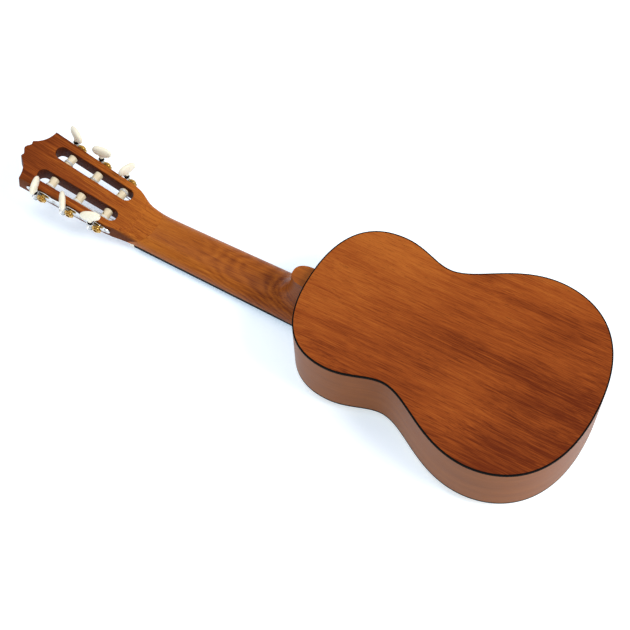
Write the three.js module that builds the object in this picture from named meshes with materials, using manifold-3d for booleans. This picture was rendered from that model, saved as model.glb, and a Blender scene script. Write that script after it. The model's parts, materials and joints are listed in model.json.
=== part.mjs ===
// A small six-string guitar with a slotted head, lying face down, in millimetres.
// +X runs from the head to the tail, +Y to the bass side and +Z up, to the back.
// It is built with the soundboard's face at z = 0 and the body centred on x = 0,
// and the finished group is moved so that its origin is under the centre of its box.

import * as THREE from 'three';
import { mergeVertices } from 'three/addons/utils/BufferGeometryUtils.js';
import Module from 'manifold-3d';

const wasm = await Module();
wasm.setup();

// ---------------------------------------------------------------- driving dimensions

const GAP = 0.3; // between pieces that were cut to each other or that turn
const GLUE = 0.1; // between flat glued faces

const BODY_LENGTH = 318.5;
const BODY_DEPTH = 70;
const PLATE = 2.5; // soundboard and back
const SIDE = 2;
const BINDING_WIDTH = 1.2;
const BINDING_HEIGHT = 2.6;
const LINING_WIDTH = 4.5;
const LINING_HEIGHT = 6;
const BLOCK_LENGTH = 20;
const NECK_BLOCK_WIDTH = 54;
const TAIL_BLOCK_WIDTH = 48;
const BRACE = { width: 7, height: 12, endHeight: 3, taper: 16, topHalf: 74, backHalf: 100 };

// The widest and narrowest points of one half of the outline, and the lengths of the
// Bezier handles on each stretch between them, from the tail to the neck.
const LOWER_BOUT = { x: 71.5, y: 114.3 };
const WAIST = { x: -36, y: 74.2 };
const UPPER_BOUT = { x: -93.5, y: 87.2 };
const HANDLES = [[98, 30], [50, 28], [17, 24], [62, 26]];

const HOLE_X = -50;
const HOLE_RADIUS = 36;

const SCALE_LENGTH = 433;
const NUT_X = -BODY_LENGTH / 2 - SCALE_LENGTH / 2; // the twelfth fret is at the body's edge
const SADDLE_X = NUT_X + SCALE_LENGTH;
const NUT_LENGTH = 5;
const NUT_HEIGHT = 6.3;
const NUT_HALF = 24;
const BODY_END_HALF = 27; // neck half width at the body
const BOARD_THICKNESS = 5;
const BOARD_END = -89.5;

const HEAD_TILT = THREE.MathUtils.degToRad(13.5);
const HEAD_BACK = 20; // height of the head's back face over the nut line, square to the head
const HEAD_FRONT = -NUT_LENGTH * Math.sin(HEAD_TILT);
const HEAD_CORNER = { d: 144, y: 36 };
const HEAD_SHOULDER = { d: 34, y: 30.4 };
const CREST = 161.4;

const SLOT_START = 28.9;
const SLOT_END = 131;
const SLOT_WIDTH = 15.5;
const SLOT_Y = 15.5; // slot centre line at the first roller
const SLOT_SPLAY = 0.0244; // and how far it leans out for each millimetre further on

const HEEL_TOP = 62;
const SHAFT_TIMBER = 18.5; // thickness of the shaft's timber, where the heel is stacked on
const SCARF_SLOPE = THREE.MathUtils.degToRad(30);
const SCARF_END = 18; // where the head's scarf comes out, from the nut towards the body
const SCARF_HEIGHT = 16.4;

const ROLLER_PITCH = 35;
const FIRST_ROLLER = 42.1;
const ROLLER_LEVEL = 10; // roller axes, square to the head, over the nut line
const ROLLER_RADIUS = 4.9;
const AXLE_RADIUS = 3;
const RIM_WIDTH = 1.2; // of the raised rim at each end of a roller
const PLATE_THICKNESS = 1.2;
const PLATE_HEIGHT = 13;
const PLATE_REACH = { tip: ROLLER_PITCH + 22, nut: ROLLER_PITCH + 15 }; // from the middle roller

const GEAR_TEETH = 14;
const GEAR_RADIUS = 5.25; // pitch circle
const WORM_RADIUS = 2.95; // pitch circle
const THREAD_PITCH = (2 * Math.PI * GEAR_RADIUS) / GEAR_TEETH;
const ADDENDUM = 0.55;
const DEDENDUM = 0.8;
const TOOTH_WIDTH = 0.34 * THREAD_PITCH;
const FLANK = 0.4; // slope of a tooth's flank
const GEAR_PLANE = 4.9; // middle of the gear and axis of the worm, out from the head's side
const GEAR_THICKNESS = 2.5;
const WORM_OFFSET = GEAR_RADIUS + WORM_RADIUS;
const THREAD_LENGTH = 6.2;
const SHAFT_RADIUS = 1.5;

const WINDING_MIDDLE = 6; // radius of the string's turns on a roller
const WINDING_OUTER = 6.5;
const WINDING_WIDTH = 3;

const BUTTON = { width: 22.5, height: 17, thickness: 7.2, level: 32.5 };

const STRING_RADII = [0.35, 0.4, 0.5, 0.36, 0.42, 0.5]; // strings 1 to 6
const NUT_SPACING = 7.8;
const SADDLE_SPACING = 11.2;
const SADDLE_TOP = 11.05; // under the soundboard's face

const BRIDGE = { front: 48.25, back: 75.25, halfSpan: 72.5, halfCentre: 39 };
const SADDLE_HALF = 36.5;
const SADDLE_THICKNESS = 2.5;
const TIE_LEVEL = 6;

// One entry for each tuner, by string: side of the head, row from the nut, distance of the
// string's winding from the centre line, and the angle that its button stands at.
const TUNERS = [
  { string: 1, side: -1, row: 0, winding: 19.8, angle: 28 },
  { string: 2, side: -1, row: 1, winding: 20.6, angle: -55 },
  { string: 3, side: -1, row: 2, winding: 21.4, angle: -75 },
  { string: 4, side: 1, row: 2, winding: 14.6, angle: -25 },
  { string: 5, side: 1, row: 1, winding: 12.6, angle: 14 },
  { string: 6, side: 1, row: 0, winding: 19.8, angle: 68 },
];

// ---------------------------------------------------------------- materials

const finish = (color, roughness, metalness = 0) => () =>
  new THREE.MeshStandardMaterial({ color, roughness, metalness });

const mahogany = finish(0x9a4d22, 0.45);
const neckWood = finish(0x8f4a20, 0.45);
const spruce = finish(0xdcb57c, 0.5);
const rosewood = finish(0x2a1c16, 0.55);
const blackPlastic = finish(0x15110f, 0.4);
const ivory = finish(0xefe6cc, 0.3);
const bone = finish(0xf3efe2, 0.35);
const nylon = finish(0xe9e6dc, 0.25);
const woundString = finish(0xbfc0c2, 0.3, 0.8);
const chrome = finish(0xd9dcdf, 0.15, 1);
const brass = finish(0xb98a3c, 0.3, 1);

// ---------------------------------------------------------------- geometry helpers

function toSolid(geometry) {
  const bare = geometry.clone();
  bare.deleteAttribute('normal');
  bare.deleteAttribute('uv');
  const merged = mergeVertices(bare, 1e-4);
  return new wasm.Manifold(new wasm.Mesh({
    numProp: 3,
    vertProperties: new Float32Array(merged.attributes.position.array),
    triVerts: new Uint32Array(merged.index.array),
  }));
}

function toGeometry(solid) {
  const mesh = solid.getMesh();
  const geometry = new THREE.BufferGeometry();
  geometry.setAttribute('position', new THREE.BufferAttribute(new Float32Array(mesh.vertProperties), 3));
  geometry.setIndex(new THREE.BufferAttribute(new Uint32Array(mesh.triVerts), 1));
  return geometry;
}

const join = (...geometries) => toGeometry(geometries.map(toSolid).reduce((a, b) => a.add(b)));

const cut = (geometry, ...tools) =>
  toGeometry(tools.map(toSolid).reduce((a, b) => a.subtract(b), toSolid(geometry)));

const overlap = (a, b) => toGeometry(toSolid(a).intersect(toSolid(b)));

// How much space a closed skin holds, below zero if its faces point in.
function volume(positions, index) {
  const corner = (i) => new THREE.Vector3().fromArray(positions, 3 * i);
  let sum = 0;
  for (let i = 0; i < index.length; i += 3) {
    sum += corner(index[i]).dot(corner(index[i + 1]).cross(corner(index[i + 2]))) / 6;
  }
  return sum;
}

// A closed skin over rings of equally many points, each ring flat and convex.
function loft(rings) {
  const size = rings[0].length;
  const positions = rings.flat().flatMap((p) => [p.x, p.y, p.z]);
  const index = [];
  for (let r = 0; r + 1 < rings.length; r++) {
    for (let i = 0; i < size; i++) {
      const a = r * size + i;
      const b = r * size + ((i + 1) % size);
      index.push(a, b, b + size, a, b + size, a + size);
    }
  }
  const last = (rings.length - 1) * size;
  for (let i = 1; i + 1 < size; i++) {
    index.push(0, i + 1, i);
    index.push(last, last + i, last + i + 1);
  }
  const geometry = new THREE.BufferGeometry();
  geometry.setAttribute('position', new THREE.Float32BufferAttribute(positions, 3));
  geometry.setIndex(volume(positions, index) < 0 ? index.reverse() : index);
  return geometry;
}

function prism(points, low, high, holes = []) {
  const shape = new THREE.Shape(points);
  shape.holes = holes.map((hole) => new THREE.Path(hole));
  const geometry = new THREE.ExtrudeGeometry(shape, { depth: high - low, bevelEnabled: false });
  return geometry.translate(0, 0, low);
}

// A prism whose outline is given in x and z and which runs along y.
function crossPrism(points, low, high) {
  const outline = points.map(([x, z]) => new THREE.Vector2(x, z));
  return prism(outline, -high, -low).rotateX(Math.PI / 2);
}

function block(x0, x1, y0, y1, z0, z1) {
  const box = new THREE.BoxGeometry(x1 - x0, y1 - y0, z1 - z0);
  return box.translate((x0 + x1) / 2, (y0 + y1) / 2, (z0 + z1) / 2);
}

function circle(radius, sides, cx = 0, cy = 0) {
  return Array.from({ length: sides }, (_, i) => {
    const angle = (2 * Math.PI * i) / sides;
    return new THREE.Vector2(cx + radius * Math.cos(angle), cy + radius * Math.sin(angle));
  });
}

// A turned piece: its profile gives the radius at each distance along +Y.
function turned(profile, sides) {
  const points = profile.map(([radius, y]) => new THREE.Vector2(radius, y));
  return new THREE.LatheGeometry(points, sides);
}

const rod = (radius, y0, y1, sides) => turned([[0, y0], [radius, y0], [radius, y1], [0, y1]], sides);

// A route of straight stretches, met at each of its corners when it is swept.
class Route extends THREE.Curve {
  constructor(points) {
    super();
    this.points = points;
  }

  getPoint(t, target = new THREE.Vector3()) {
    const along = THREE.MathUtils.clamp(t, 0, 1) * (this.points.length - 1);
    const i = Math.min(Math.floor(along), this.points.length - 2);
    return target.lerpVectors(this.points[i], this.points[i + 1], along - i);
  }

  getUtoTmapping(u) {
    return u;
  }
}

function sweep(points, radius, sides) {
  const section = new THREE.Shape(circle(radius, sides));
  return new THREE.ExtrudeGeometry(section, {
    steps: points.length - 1,
    extrudePath: new Route(points),
    bevelEnabled: false,
  });
}

const guitar = new THREE.Group();

function place(name, geometry, material, parent = guitar) {
  geometry.computeVertexNormals();
  const mesh = new THREE.Mesh(geometry, material());
  mesh.name = name;
  parent.add(mesh);
  return mesh;
}

// ---------------------------------------------------------------- body

const at = ({ x, y }) => new THREE.Vector2(x, y);

function halfOutline() {
  const end = BODY_LENGTH / 2;
  const [tail, upper, waist, neck] = HANDLES;
  const path = new THREE.CurvePath();
  const stretch = (...points) => path.add(new THREE.CubicBezierCurve(...points.map(at)));
  const along = ({ x, y }, dx) => ({ x: x + dx, y });
  stretch({ x: end, y: 0 }, { x: end, y: tail[0] }, along(LOWER_BOUT, tail[1]), LOWER_BOUT);
  stretch(LOWER_BOUT, along(LOWER_BOUT, -upper[0]), along(WAIST, upper[1]), WAIST);
  stretch(WAIST, along(WAIST, -waist[0]), along(UPPER_BOUT, waist[1]), UPPER_BOUT);
  stretch(UPPER_BOUT, along(UPPER_BOUT, -neck[0]), { x: -end, y: neck[1] }, { x: -end, y: 0 });
  return path;
}

const HALF = halfOutline();
const HALF_LENGTH = HALF.getLength();

// Points of the bass half, from one distance along it to another, set in from its edge.
function edge(inset, from, to, steps) {
  return Array.from({ length: steps + 1 }, (_, i) => {
    const u = THREE.MathUtils.lerp(from, to, i / steps) / HALF_LENGTH;
    const point = HALF.getPointAt(u);
    const tangent = HALF.getTangentAt(u);
    return new THREE.Vector2(point.x - inset * tangent.y, point.y + inset * tangent.x);
  });
}

const mirrored = (points) => points.map((p) => new THREE.Vector2(p.x, -p.y)).reverse();

function fullOutline(inset, steps = 34) {
  const bass = edge(inset, 0, HALF_LENGTH, steps);
  return [...bass, ...mirrored(bass).slice(1, -1)];
}

// A band that follows the bass half of the outline, or its mirror image.
function band(side, inset, width, from, to, low, high, steps) {
  const outer = edge(inset, from, to, steps);
  const inner = edge(inset + width, from, to, steps).reverse();
  const points = [...outer, ...inner];
  return prism(side > 0 ? points : mirrored(points), low, high);
}

// A brace across the body, with its foot on a plate and its ends thinned.
function brace(x, halfSpan, foot, up) {
  const { width, height, endHeight, taper } = BRACE;
  const profile = [[-halfSpan, 0], [halfSpan, 0], [halfSpan, endHeight], [halfSpan - taper, height],
    [taper - halfSpan, height], [-halfSpan, endHeight]];
  const points = profile.map(([y, z]) => new THREE.Vector2(y, foot + up * z));
  const bar = prism(points, -width / 2, width / 2);
  return bar.rotateX(Math.PI / 2).rotateZ(Math.PI / 2).translate(x, 0, 0);
}

function buildBody() {
  const plateInset = BINDING_WIDTH + GLUE;
  const hole = circle(HOLE_RADIUS, 36, HOLE_X, 0);
  place('soundboard', prism(fullOutline(plateInset), 0, PLATE, [hole]), spruce);
  place('back_plate', prism(fullOutline(plateInset), BODY_DEPTH - PLATE, BODY_DEPTH), mahogany);

  const ring = (low, high) => prism(fullOutline(0), low, high, [fullOutline(BINDING_WIDTH)]);
  place('top_binding', ring(0, BINDING_HEIGHT), blackPlastic);
  place('back_binding', ring(BODY_DEPTH - BINDING_HEIGHT, BODY_DEPTH), blackPlastic);

  const sideLow = BINDING_HEIGHT + GLUE;
  const sideHigh = BODY_DEPTH - sideLow;
  const seam = GAP / 2;
  const liningInset = SIDE + 2 * GAP;
  const liningFrom = TAIL_BLOCK_WIDTH / 2 + 4;
  const liningTo = HALF_LENGTH - NECK_BLOCK_WIDTH / 2 - 5;
  const liningLow = PLATE + GLUE;
  const backLow = BODY_DEPTH - liningLow - LINING_HEIGHT;
  for (const [name, side] of [['bass', 1], ['treble', -1]]) {
    const rib = band(side, 0, SIDE, seam, HALF_LENGTH - seam, sideLow, sideHigh, 34);
    place(`side_${name}`, rib, mahogany);
    const lining = (low) =>
      band(side, liningInset, LINING_WIDTH, liningFrom, liningTo, low, low + LINING_HEIGHT, 30);
    place(`top_lining_${name}`, lining(liningLow), spruce);
    place(`back_lining_${name}`, lining(backLow), spruce);
  }

  const inside = prism(fullOutline(SIDE + GAP), liningLow, BODY_DEPTH - liningLow);
  const end = BODY_LENGTH / 2;
  const neckHalf = NECK_BLOCK_WIDTH / 2;
  const tailHalf = TAIL_BLOCK_WIDTH / 2;
  const neckEnd = block(-end, BLOCK_LENGTH - end, -neckHalf, neckHalf, 0, BODY_DEPTH);
  const tailEnd = block(end - BLOCK_LENGTH, end, -tailHalf, tailHalf, 0, BODY_DEPTH);
  place('neck_block', overlap(inside, neckEnd), spruce);
  place('tail_block', overlap(inside, tailEnd), spruce);

  const holeMargin = HOLE_RADIUS + 8;
  place('top_brace_upper', brace(HOLE_X - holeMargin, BRACE.topHalf, liningLow, 1), spruce);
  place('top_brace_lower', brace(HOLE_X + holeMargin, BRACE.topHalf, liningLow, 1), spruce);
  const backFoot = BODY_DEPTH - liningLow;
  place('back_brace', brace(LOWER_BOUT.x, BRACE.backHalf, backFoot, -1), spruce);
}

// ---------------------------------------------------------------- neck, heel and head

// Height of the neck's back surface at y, for a half width, a height and a squareness.
const crown = (y, half, height, power) =>
  height * Math.pow(Math.max(0, 1 - Math.pow(Math.abs(y) / half, power)), 1 / power);

// A cross-section of the neck: a flat front and a rounded back.
function neckSection(x, half, front, height, power) {
  const steps = 16;
  return Array.from({ length: steps + 1 }, (_, i) => {
    const angle = (Math.PI * i) / steps;
    const c = Math.cos(angle);
    const y = half * Math.sign(c) * Math.pow(Math.abs(c), 2 / power);
    return new THREE.Vector3(x, y, front + crown(y, half, height - front, power));
  });
}

function neckShaft() {
  const tilt = Math.tan(HEAD_TILT);
  const backAt = (s) => HEAD_BACK / Math.cos(HEAD_TILT) - s * tilt;
  const frontAt = (s) => Math.max(0, (-s - NUT_LENGTH) * tilt);
  // distance from the nut towards the body, half width, back height, squareness
  const stations = [
    [-30, 29.6, backAt(-30), 16],
    [-24, 28.6, backAt(-24), 12],
    [-16, 26.6, backAt(-16), 7],
    [-8, 24.9, backAt(-8) - 0.2, 4.8],
    [-NUT_LENGTH, 24.3, backAt(-5) - 0.4, 4.3],
    [0, 24, backAt(0) - 0.8, 3.7],
    [10, 24, 17.3, 2.8],
    [22, 24.2, 16.2, 2.4],
    [60, 24.8, 16.4, 2.3],
    [(SCALE_LENGTH / 2) - GAP, BODY_END_HALF, 18, 2.3],
  ];
  return loft(stations.map(([s, half, height, power]) =>
    neckSection(NUT_X + s, half, frontAt(s), height, power)));
}

function heelBlank() {
  const root = -BODY_LENGTH / 2 - GAP;
  // height over the soundboard's face, reach from the body, half width
  const stations = [
    [6, 64, 25],
    [12, 58, 24],
    [16, 49, 21.5],
    [21, 39, 19],
    [28, 31, 16.6],
    [38, 25.5, 14.6],
    [50, 22, 13.2],
    [HEEL_TOP, 20.3, 12.7],
  ];
  const steps = 14;
  return loft(stations.map(([z, reach, half]) =>
    Array.from({ length: steps + 1 }, (_, i) => {
      const angle = (Math.PI * i) / steps;
      const y = half * Math.cos(angle);
      return new THREE.Vector3(root - crown(y, half, reach, 2.4), y, z);
    })));
}

// The head's outline from the shoulder to the middle of the crest, on the bass side.
function headHalf() {
  const vectors = (points) => points.map(([d, y]) => new THREE.Vector2(d, y));
  const curve = (...points) => new THREE.CubicBezierCurve(...vectors(points));
  const { d, y } = HEAD_CORNER;
  const shoulder = vectors([[20, 26.6], [25, 28.6], [HEAD_SHOULDER.d, HEAD_SHOULDER.y]]);
  const scoop = curve([d, y], [d + 1, y - 7], [d + 3, y - 16], [CREST - 5, 13]).getPoints(8);
  const step = vectors([[CREST - 3.3, 11.6], [CREST - 3.3, 8.7]]);
  const lobe = curve([CREST - 3.9, 8.2], [CREST - 3.8, 5], [CREST, 3.5], [CREST, 0]).getPoints(5);
  return [...shoulder, ...scoop, ...step, ...lobe];
}

// From distance along the head to the head's own x, which points back to the body.
const headwards = (points) => points.map((p) => new THREE.Vector2(-p.x, p.y));

function headPrism() {
  const half = headHalf();
  return prism(headwards([...half, ...mirrored(half).slice(1)]), HEAD_FRONT, HEAD_BACK);
}

function slotPrism(side) {
  const radius = SLOT_WIDTH / 2;
  const length = SLOT_END - SLOT_START - SLOT_WIDTH;
  const steps = 8;
  const cap = (cx, from) => Array.from({ length: steps + 1 }, (_, i) => {
    const angle = from + (Math.PI * i) / steps;
    return new THREE.Vector2(cx + radius * Math.cos(angle), radius * Math.sin(angle));
  });
  const outline = [...cap(0, -Math.PI / 2), ...cap(-length, Math.PI / 2)];
  const middle = SLOT_START + radius;
  const y = SLOT_Y + SLOT_SPLAY * (middle - FIRST_ROLLER);
  const splay = -side * Math.atan(SLOT_SPLAY);
  return prism(outline, HEAD_FRONT - 5, HEAD_BACK + 5).rotateZ(splay).translate(-middle, side * y, 0);
}

// The slope that lets the outer strings into the slot's end.
function rampPrism(side) {
  const profile = [[-13, HEAD_FRONT - 2], [-32, HEAD_FRONT - 2], [-32, 5.4]];
  const y = side * (SLOT_Y + 0.6);
  return crossPrism(profile, y - 5.5, y + 5.5);
}

const toHead = (geometry) => geometry.rotateY(HEAD_TILT).translate(NUT_X, 0, 0);

const rollerPlace = (row) => FIRST_ROLLER + ROLLER_PITCH * row;

const HEAD_SPLAY = Math.atan((HEAD_CORNER.y - HEAD_SHOULDER.y) / (HEAD_CORNER.d - HEAD_SHOULDER.d));

const headSideAt = (d) => HEAD_SHOULDER.y + Math.tan(HEAD_SPLAY) * (d - HEAD_SHOULDER.d);

// How deep the slot's centre lies behind the head's side at a roller.
const slotDepth = (row) => {
  const d = rollerPlace(row);
  return (headSideAt(d) - SLOT_Y - SLOT_SPLAY * (d - FIRST_ROLLER)) * Math.cos(HEAD_SPLAY);
};

const SLEEVE_HALF = SLOT_WIDTH / 2 - 0.6;
const STUB = 3.6;

function axleBore({ side, row }) {
  const depth = slotDepth(row);
  const inner = -depth - SLEEVE_HALF - STUB - GAP;
  const bore = rod(AXLE_RADIUS + 2 * GAP, inner, 5, 8);
  const d = rollerPlace(row);
  const turn = side > 0 ? -HEAD_SPLAY : HEAD_SPLAY + Math.PI;
  return bore.rotateZ(turn).translate(-d, side * headSideAt(d), ROLLER_LEVEL);
}

function buildNeck() {
  const tools = [-1, 1].flatMap((side) => [slotPrism(side), rampPrism(side)]);
  const head = cut(headPrism(), ...tools, ...TUNERS.map(axleBore));
  const shaft = cut(neckShaft(), ...tools.map(toHead));
  const whole = join(shaft, toHead(head), heelBlank());

  // The head is scarfed on along a slope that comes out at the neck's back, and the heel
  // is stacked on the flat back of the shaft's timber.
  const reach = 300;
  const beyond = (offset) => block(-reach, reach, -60, 60, offset, reach)
    .rotateY(-SCARF_SLOPE).translate(NUT_X + SCARF_END, 0, SCARF_HEIGHT);
  const above = (offset) =>
    block(-BODY_LENGTH / 2 - 110, 0, -60, 60, SHAFT_TIMBER + offset, BODY_DEPTH);
  place('neck_shaft', cut(whole, beyond(0), above(0)), neckWood);
  place('head', overlap(whole, beyond(GLUE)), neckWood);
  place('heel', overlap(cut(whole, beyond(0)), above(GLUE)), neckWood);
}

// ---------------------------------------------------------------- fingerboard, nut, bridge

const boardHalfAt = (x) =>
  NUT_HALF + ((BODY_END_HALF - NUT_HALF) * (x - NUT_X)) / (SCALE_LENGTH / 2);

function buildBoardAndNut() {
  const corner = (x, side) => new THREE.Vector2(x, side * boardHalfAt(x));
  const start = NUT_X + GLUE;
  const board = [corner(start, -1), corner(BOARD_END, -1), corner(BOARD_END, 1), corner(start, 1)];
  place('fingerboard', prism(board, -BOARD_THICKNESS, -GLUE), rosewood);
  place('nut', block(NUT_X - NUT_LENGTH, NUT_X, -NUT_HALF, NUT_HALF, -NUT_HEIGHT, -GLUE), bone);
}

const stringY = (string, spacing) => (string - 3.5) * spacing;

function buildBridge() {
  const { front, back, halfSpan, halfCentre } = BRIDGE;
  const wings = [[front, -GLUE], [front, -3.2], [front + 3, -4.4], [back - 3, -4.4],
    [back, -3.2], [back, -GLUE]];
  const tieFront = back - 8.75;
  const centre = [[front, -GLUE], [front, -4.6], [front + 4, -8.6], [tieFront - 5.5, -8.6],
    [tieFront - 5.5, -4.3], [tieFront, -4.3], [tieFront, -9.4], [back - 0.8, -9.4],
    [back, -8.6], [back, -GLUE]];
  const half = SADDLE_THICKNESS / 2;
  const room = SADDLE_HALF + GAP;
  const slot = block(SADDLE_X - half - GAP, SADDLE_X + half + GAP, -room, room, -12, -5);
  const tieHole = (string) => rod(0.95, tieFront - 1, back + 1, 6).rotateZ(-Math.PI / 2)
    .translate(0, stringY(string, SADDLE_SPACING), -TIE_LEVEL);
  const holes = TUNERS.map(({ string }) => tieHole(string));
  const blank = join(crossPrism(wings, -halfSpan, halfSpan), crossPrism(centre, -halfCentre, halfCentre));
  place('bridge', cut(blank, slot, ...holes), rosewood);

  const saddle = [[-half, -5 - GLUE], [-half, 1 - SADDLE_TOP], [-0.6, -SADDLE_TOP],
    [0.6, -SADDLE_TOP], [half, 1 - SADDLE_TOP], [half, -5 - GLUE]];
  const profile = saddle.map(([x, z]) => [SADDLE_X + x, z]);
  place('saddle', crossPrism(profile, -SADDLE_HALF, SADDLE_HALF), bone);
}

// ---------------------------------------------------------------- strings

const headPoint = (d, y, level) => new THREE.Vector3(
  NUT_X - d * Math.cos(HEAD_TILT) + level * Math.sin(HEAD_TILT),
  y,
  d * Math.sin(HEAD_TILT) + level * Math.cos(HEAD_TILT),
);

// From the roller over the nut and the saddle and through the tie block.
function buildString({ string, side, row, winding }) {
  const radius = STRING_RADII[string - 1];
  const nutY = stringY(string, NUT_SPACING);
  const saddleY = stringY(string, SADDLE_SPACING);
  const nutZ = -NUT_HEIGHT - GAP - radius;
  const saddleZ = -SADDLE_TOP - GAP - radius;
  const half = SADDLE_THICKNESS / 2;
  const bend = new THREE.Vector3(NUT_X - NUT_LENGTH - 0.6, nutY, nutZ);
  const tangent = headPoint(rollerPlace(row), side * winding, ROLLER_LEVEL - WINDING_MIDDLE);
  const start = tangent.clone().add(bend.clone().sub(tangent).setLength(5));
  const route = [
    start,
    bend,
    new THREE.Vector3(NUT_X, nutY, nutZ),
    new THREE.Vector3(SADDLE_X - half, saddleY, saddleZ),
    new THREE.Vector3(SADDLE_X + half, saddleY, saddleZ),
    new THREE.Vector3(BRIDGE.back - 9, saddleY, -TIE_LEVEL),
    new THREE.Vector3(BRIDGE.back + 2, saddleY, -TIE_LEVEL),
  ];
  place(`string_${string}`, sweep(route, radius, 8), string > 3 ? woundString : nylon);
}

// ---------------------------------------------------------------- tuning machines

const EAR_THICKNESS = 1.4;
const EAR_HALF = PLATE_HEIGHT / 2 - EAR_THICKNESS;
const GEAR_BORE = 1.9;

// Every piece of a machine is drawn at its roller's axis, with +Y out of the head's side
// and the worm on the tip's side, which is -X on the bass side and +X on the treble side.
const tipSide = (side) => -side;

function machinePlate(side) {
  const tip = tipSide(side);
  const half = PLATE_HEIGHT / 2;
  const end = (reach, sign) => Array.from({ length: 7 }, (_, i) => {
    const angle = -Math.PI / 2 + (Math.PI * i) / 6;
    return [sign * (reach - 8 + 8 * Math.cos(angle)), sign * half * Math.sin(angle)];
  });
  const outline = [...end(PLATE_REACH.tip, tip), ...end(PLATE_REACH.nut, -tip)];
  const low = GLUE;
  const sheet = crossPrism(outline, low, low + PLATE_THICKNESS);
  const rows = [-1, 0, 1].map((row) => row * ROLLER_PITCH);
  const ear = (x, z) => block(x - 3, x + 3, low + 0.2, GEAR_PLANE + 3, z, z + EAR_THICKNESS);
  const wormX = (x) => x + tip * WORM_OFFSET;
  const ears = rows.flatMap((x) => [ear(wormX(x), EAR_HALF), ear(wormX(x), -PLATE_HEIGHT / 2)]);
  const axleHoles = rows.map((x) => rod(AXLE_RADIUS + 2 * GAP, -2, 3, 8).translate(x, 0, 0));
  const shaftHoles = rows.map((x) => rod(SHAFT_RADIUS + 2 * GAP, -10, 10, 6).rotateX(Math.PI / 2)
    .translate(wormX(x), GEAR_PLANE, 0));
  return cut(join(sheet, ...ears), ...axleHoles, ...shaftHoles);
}

function gearWheel() {
  const root = GEAR_RADIUS - DEDENDUM;
  const tip = GEAR_RADIUS + ADDENDUM;
  const halfAngle = (radius) => (TOOTH_WIDTH / 2 + (GEAR_RADIUS - radius) * FLANK) / radius;
  const outline = Array.from({ length: GEAR_TEETH }, (_, k) => {
    const middle = (2 * Math.PI * (k + 0.5)) / GEAR_TEETH;
    const corner = (radius, sign) => {
      const angle = middle + sign * halfAngle(radius);
      return [radius * Math.cos(angle), radius * Math.sin(angle)];
    };
    return [corner(root, -1), corner(tip, -1), corner(tip, 1), corner(root, 1)];
  }).flat();
  const half = GEAR_THICKNESS / 2;
  const wheel = crossPrism(outline, GEAR_PLANE - half, GEAR_PLANE + half);
  const hub = rod(3.3, GLUE + PLATE_THICKNESS + GAP, GEAR_PLANE + half + 1.6, 10);
  return cut(join(wheel, hub), rod(GEAR_BORE, 0, 12, 8));
}

function wormShaft(side) {
  const core = WORM_RADIUS - DEDENDUM;
  const neck = SHAFT_RADIUS;
  const half = PLATE_HEIGHT / 2;
  const shoulder = EAR_HALF - GAP;
  const top = BUTTON.level - ROLLER_LEVEL - 5;
  const shaft = turned([
    [0, -half - 1.8], [1.5, -half - 1.8], [2.3, -half - GAP], [neck, -half - GAP],
    [neck, -shoulder], [core, -shoulder], [core, shoulder], [neck, shoulder],
    [neck, half + GAP], [2.7, half + GAP], [2.7, half + 2], [neck, half + 2.6], [neck, top],
    [0, top],
  ], 8).rotateX(Math.PI / 2);

  // A single right-handed thread, whose middle ridge faces the gear at the gear's height.
  const facing = side > 0 ? 0 : Math.PI;
  const turns = THREAD_LENGTH / THREAD_PITCH;
  const steps = Math.round(turns * 8);
  const ridgeHalf = (radius) => TOOTH_WIDTH / 2 + (WORM_RADIUS - radius) * FLANK;
  const rim = WORM_RADIUS + ADDENDUM;
  const section = [[core - GAP, -1], [rim, -1], [rim, 1], [core - GAP, 1]];
  const rings = Array.from({ length: steps + 1 }, (_, i) => {
    const turn = 2 * Math.PI * turns * (i / steps - 0.5);
    const rise = (THREAD_PITCH * turn) / (2 * Math.PI);
    return section.map(([radius, sign]) => new THREE.Vector3(
      radius * Math.cos(facing + turn),
      radius * Math.sin(facing + turn),
      rise + sign * ridgeHalf(radius),
    ));
  });
  return join(shaft, loft(rings));
}

function button() {
  const { width, height, thickness, level } = BUTTON;
  const middle = level - ROLLER_LEVEL;
  const disc = new THREE.SphereGeometry(0.5, 12, 8).rotateX(Math.PI / 2)
    .scale(width, thickness, height).translate(0, 0, middle);
  const base = middle - height / 2 - 2.4;
  const stem = rod(2.8, base, middle - height / 4, 8).rotateX(Math.PI / 2);
  const bore = rod(SHAFT_RADIUS + GAP, base - 1, middle - 5 + GAP, 6).rotateX(Math.PI / 2);
  return cut(join(disc, stem), bore);
}

function roller(row) {
  const middle = -slotDepth(row);
  const inner = middle - SLEEVE_HALF;
  const outer = middle + SLEEVE_HALF;
  const tip = GEAR_PLANE + GEAR_THICKNESS / 2;
  const step = GLUE + PLATE_THICKNESS;
  const rim = ROLLER_RADIUS + 0.3;
  return turned([
    [0, inner - STUB], [AXLE_RADIUS, inner - STUB], [AXLE_RADIUS, inner], [rim, inner],
    [rim, inner + RIM_WIDTH], [ROLLER_RADIUS, inner + RIM_WIDTH], [ROLLER_RADIUS, outer - RIM_WIDTH],
    [rim, outer - RIM_WIDTH], [rim, outer], [AXLE_RADIUS, outer], [AXLE_RADIUS, step],
    [GEAR_BORE - GAP, step], [GEAR_BORE - GAP, tip], [0, tip],
  ], 12);
}

function stringWinding({ row, winding }) {
  const y = -(headSideAt(rollerPlace(row)) - winding) / Math.cos(HEAD_SPLAY);
  const inner = 2 * WINDING_MIDDLE - WINDING_OUTER;
  const half = WINDING_WIDTH / 2;
  return turned([
    [inner, y - half], [WINDING_OUTER, y - half], [WINDING_OUTER, y + half], [inner, y + half],
    [inner, y - half],
  ], 12);
}

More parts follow.
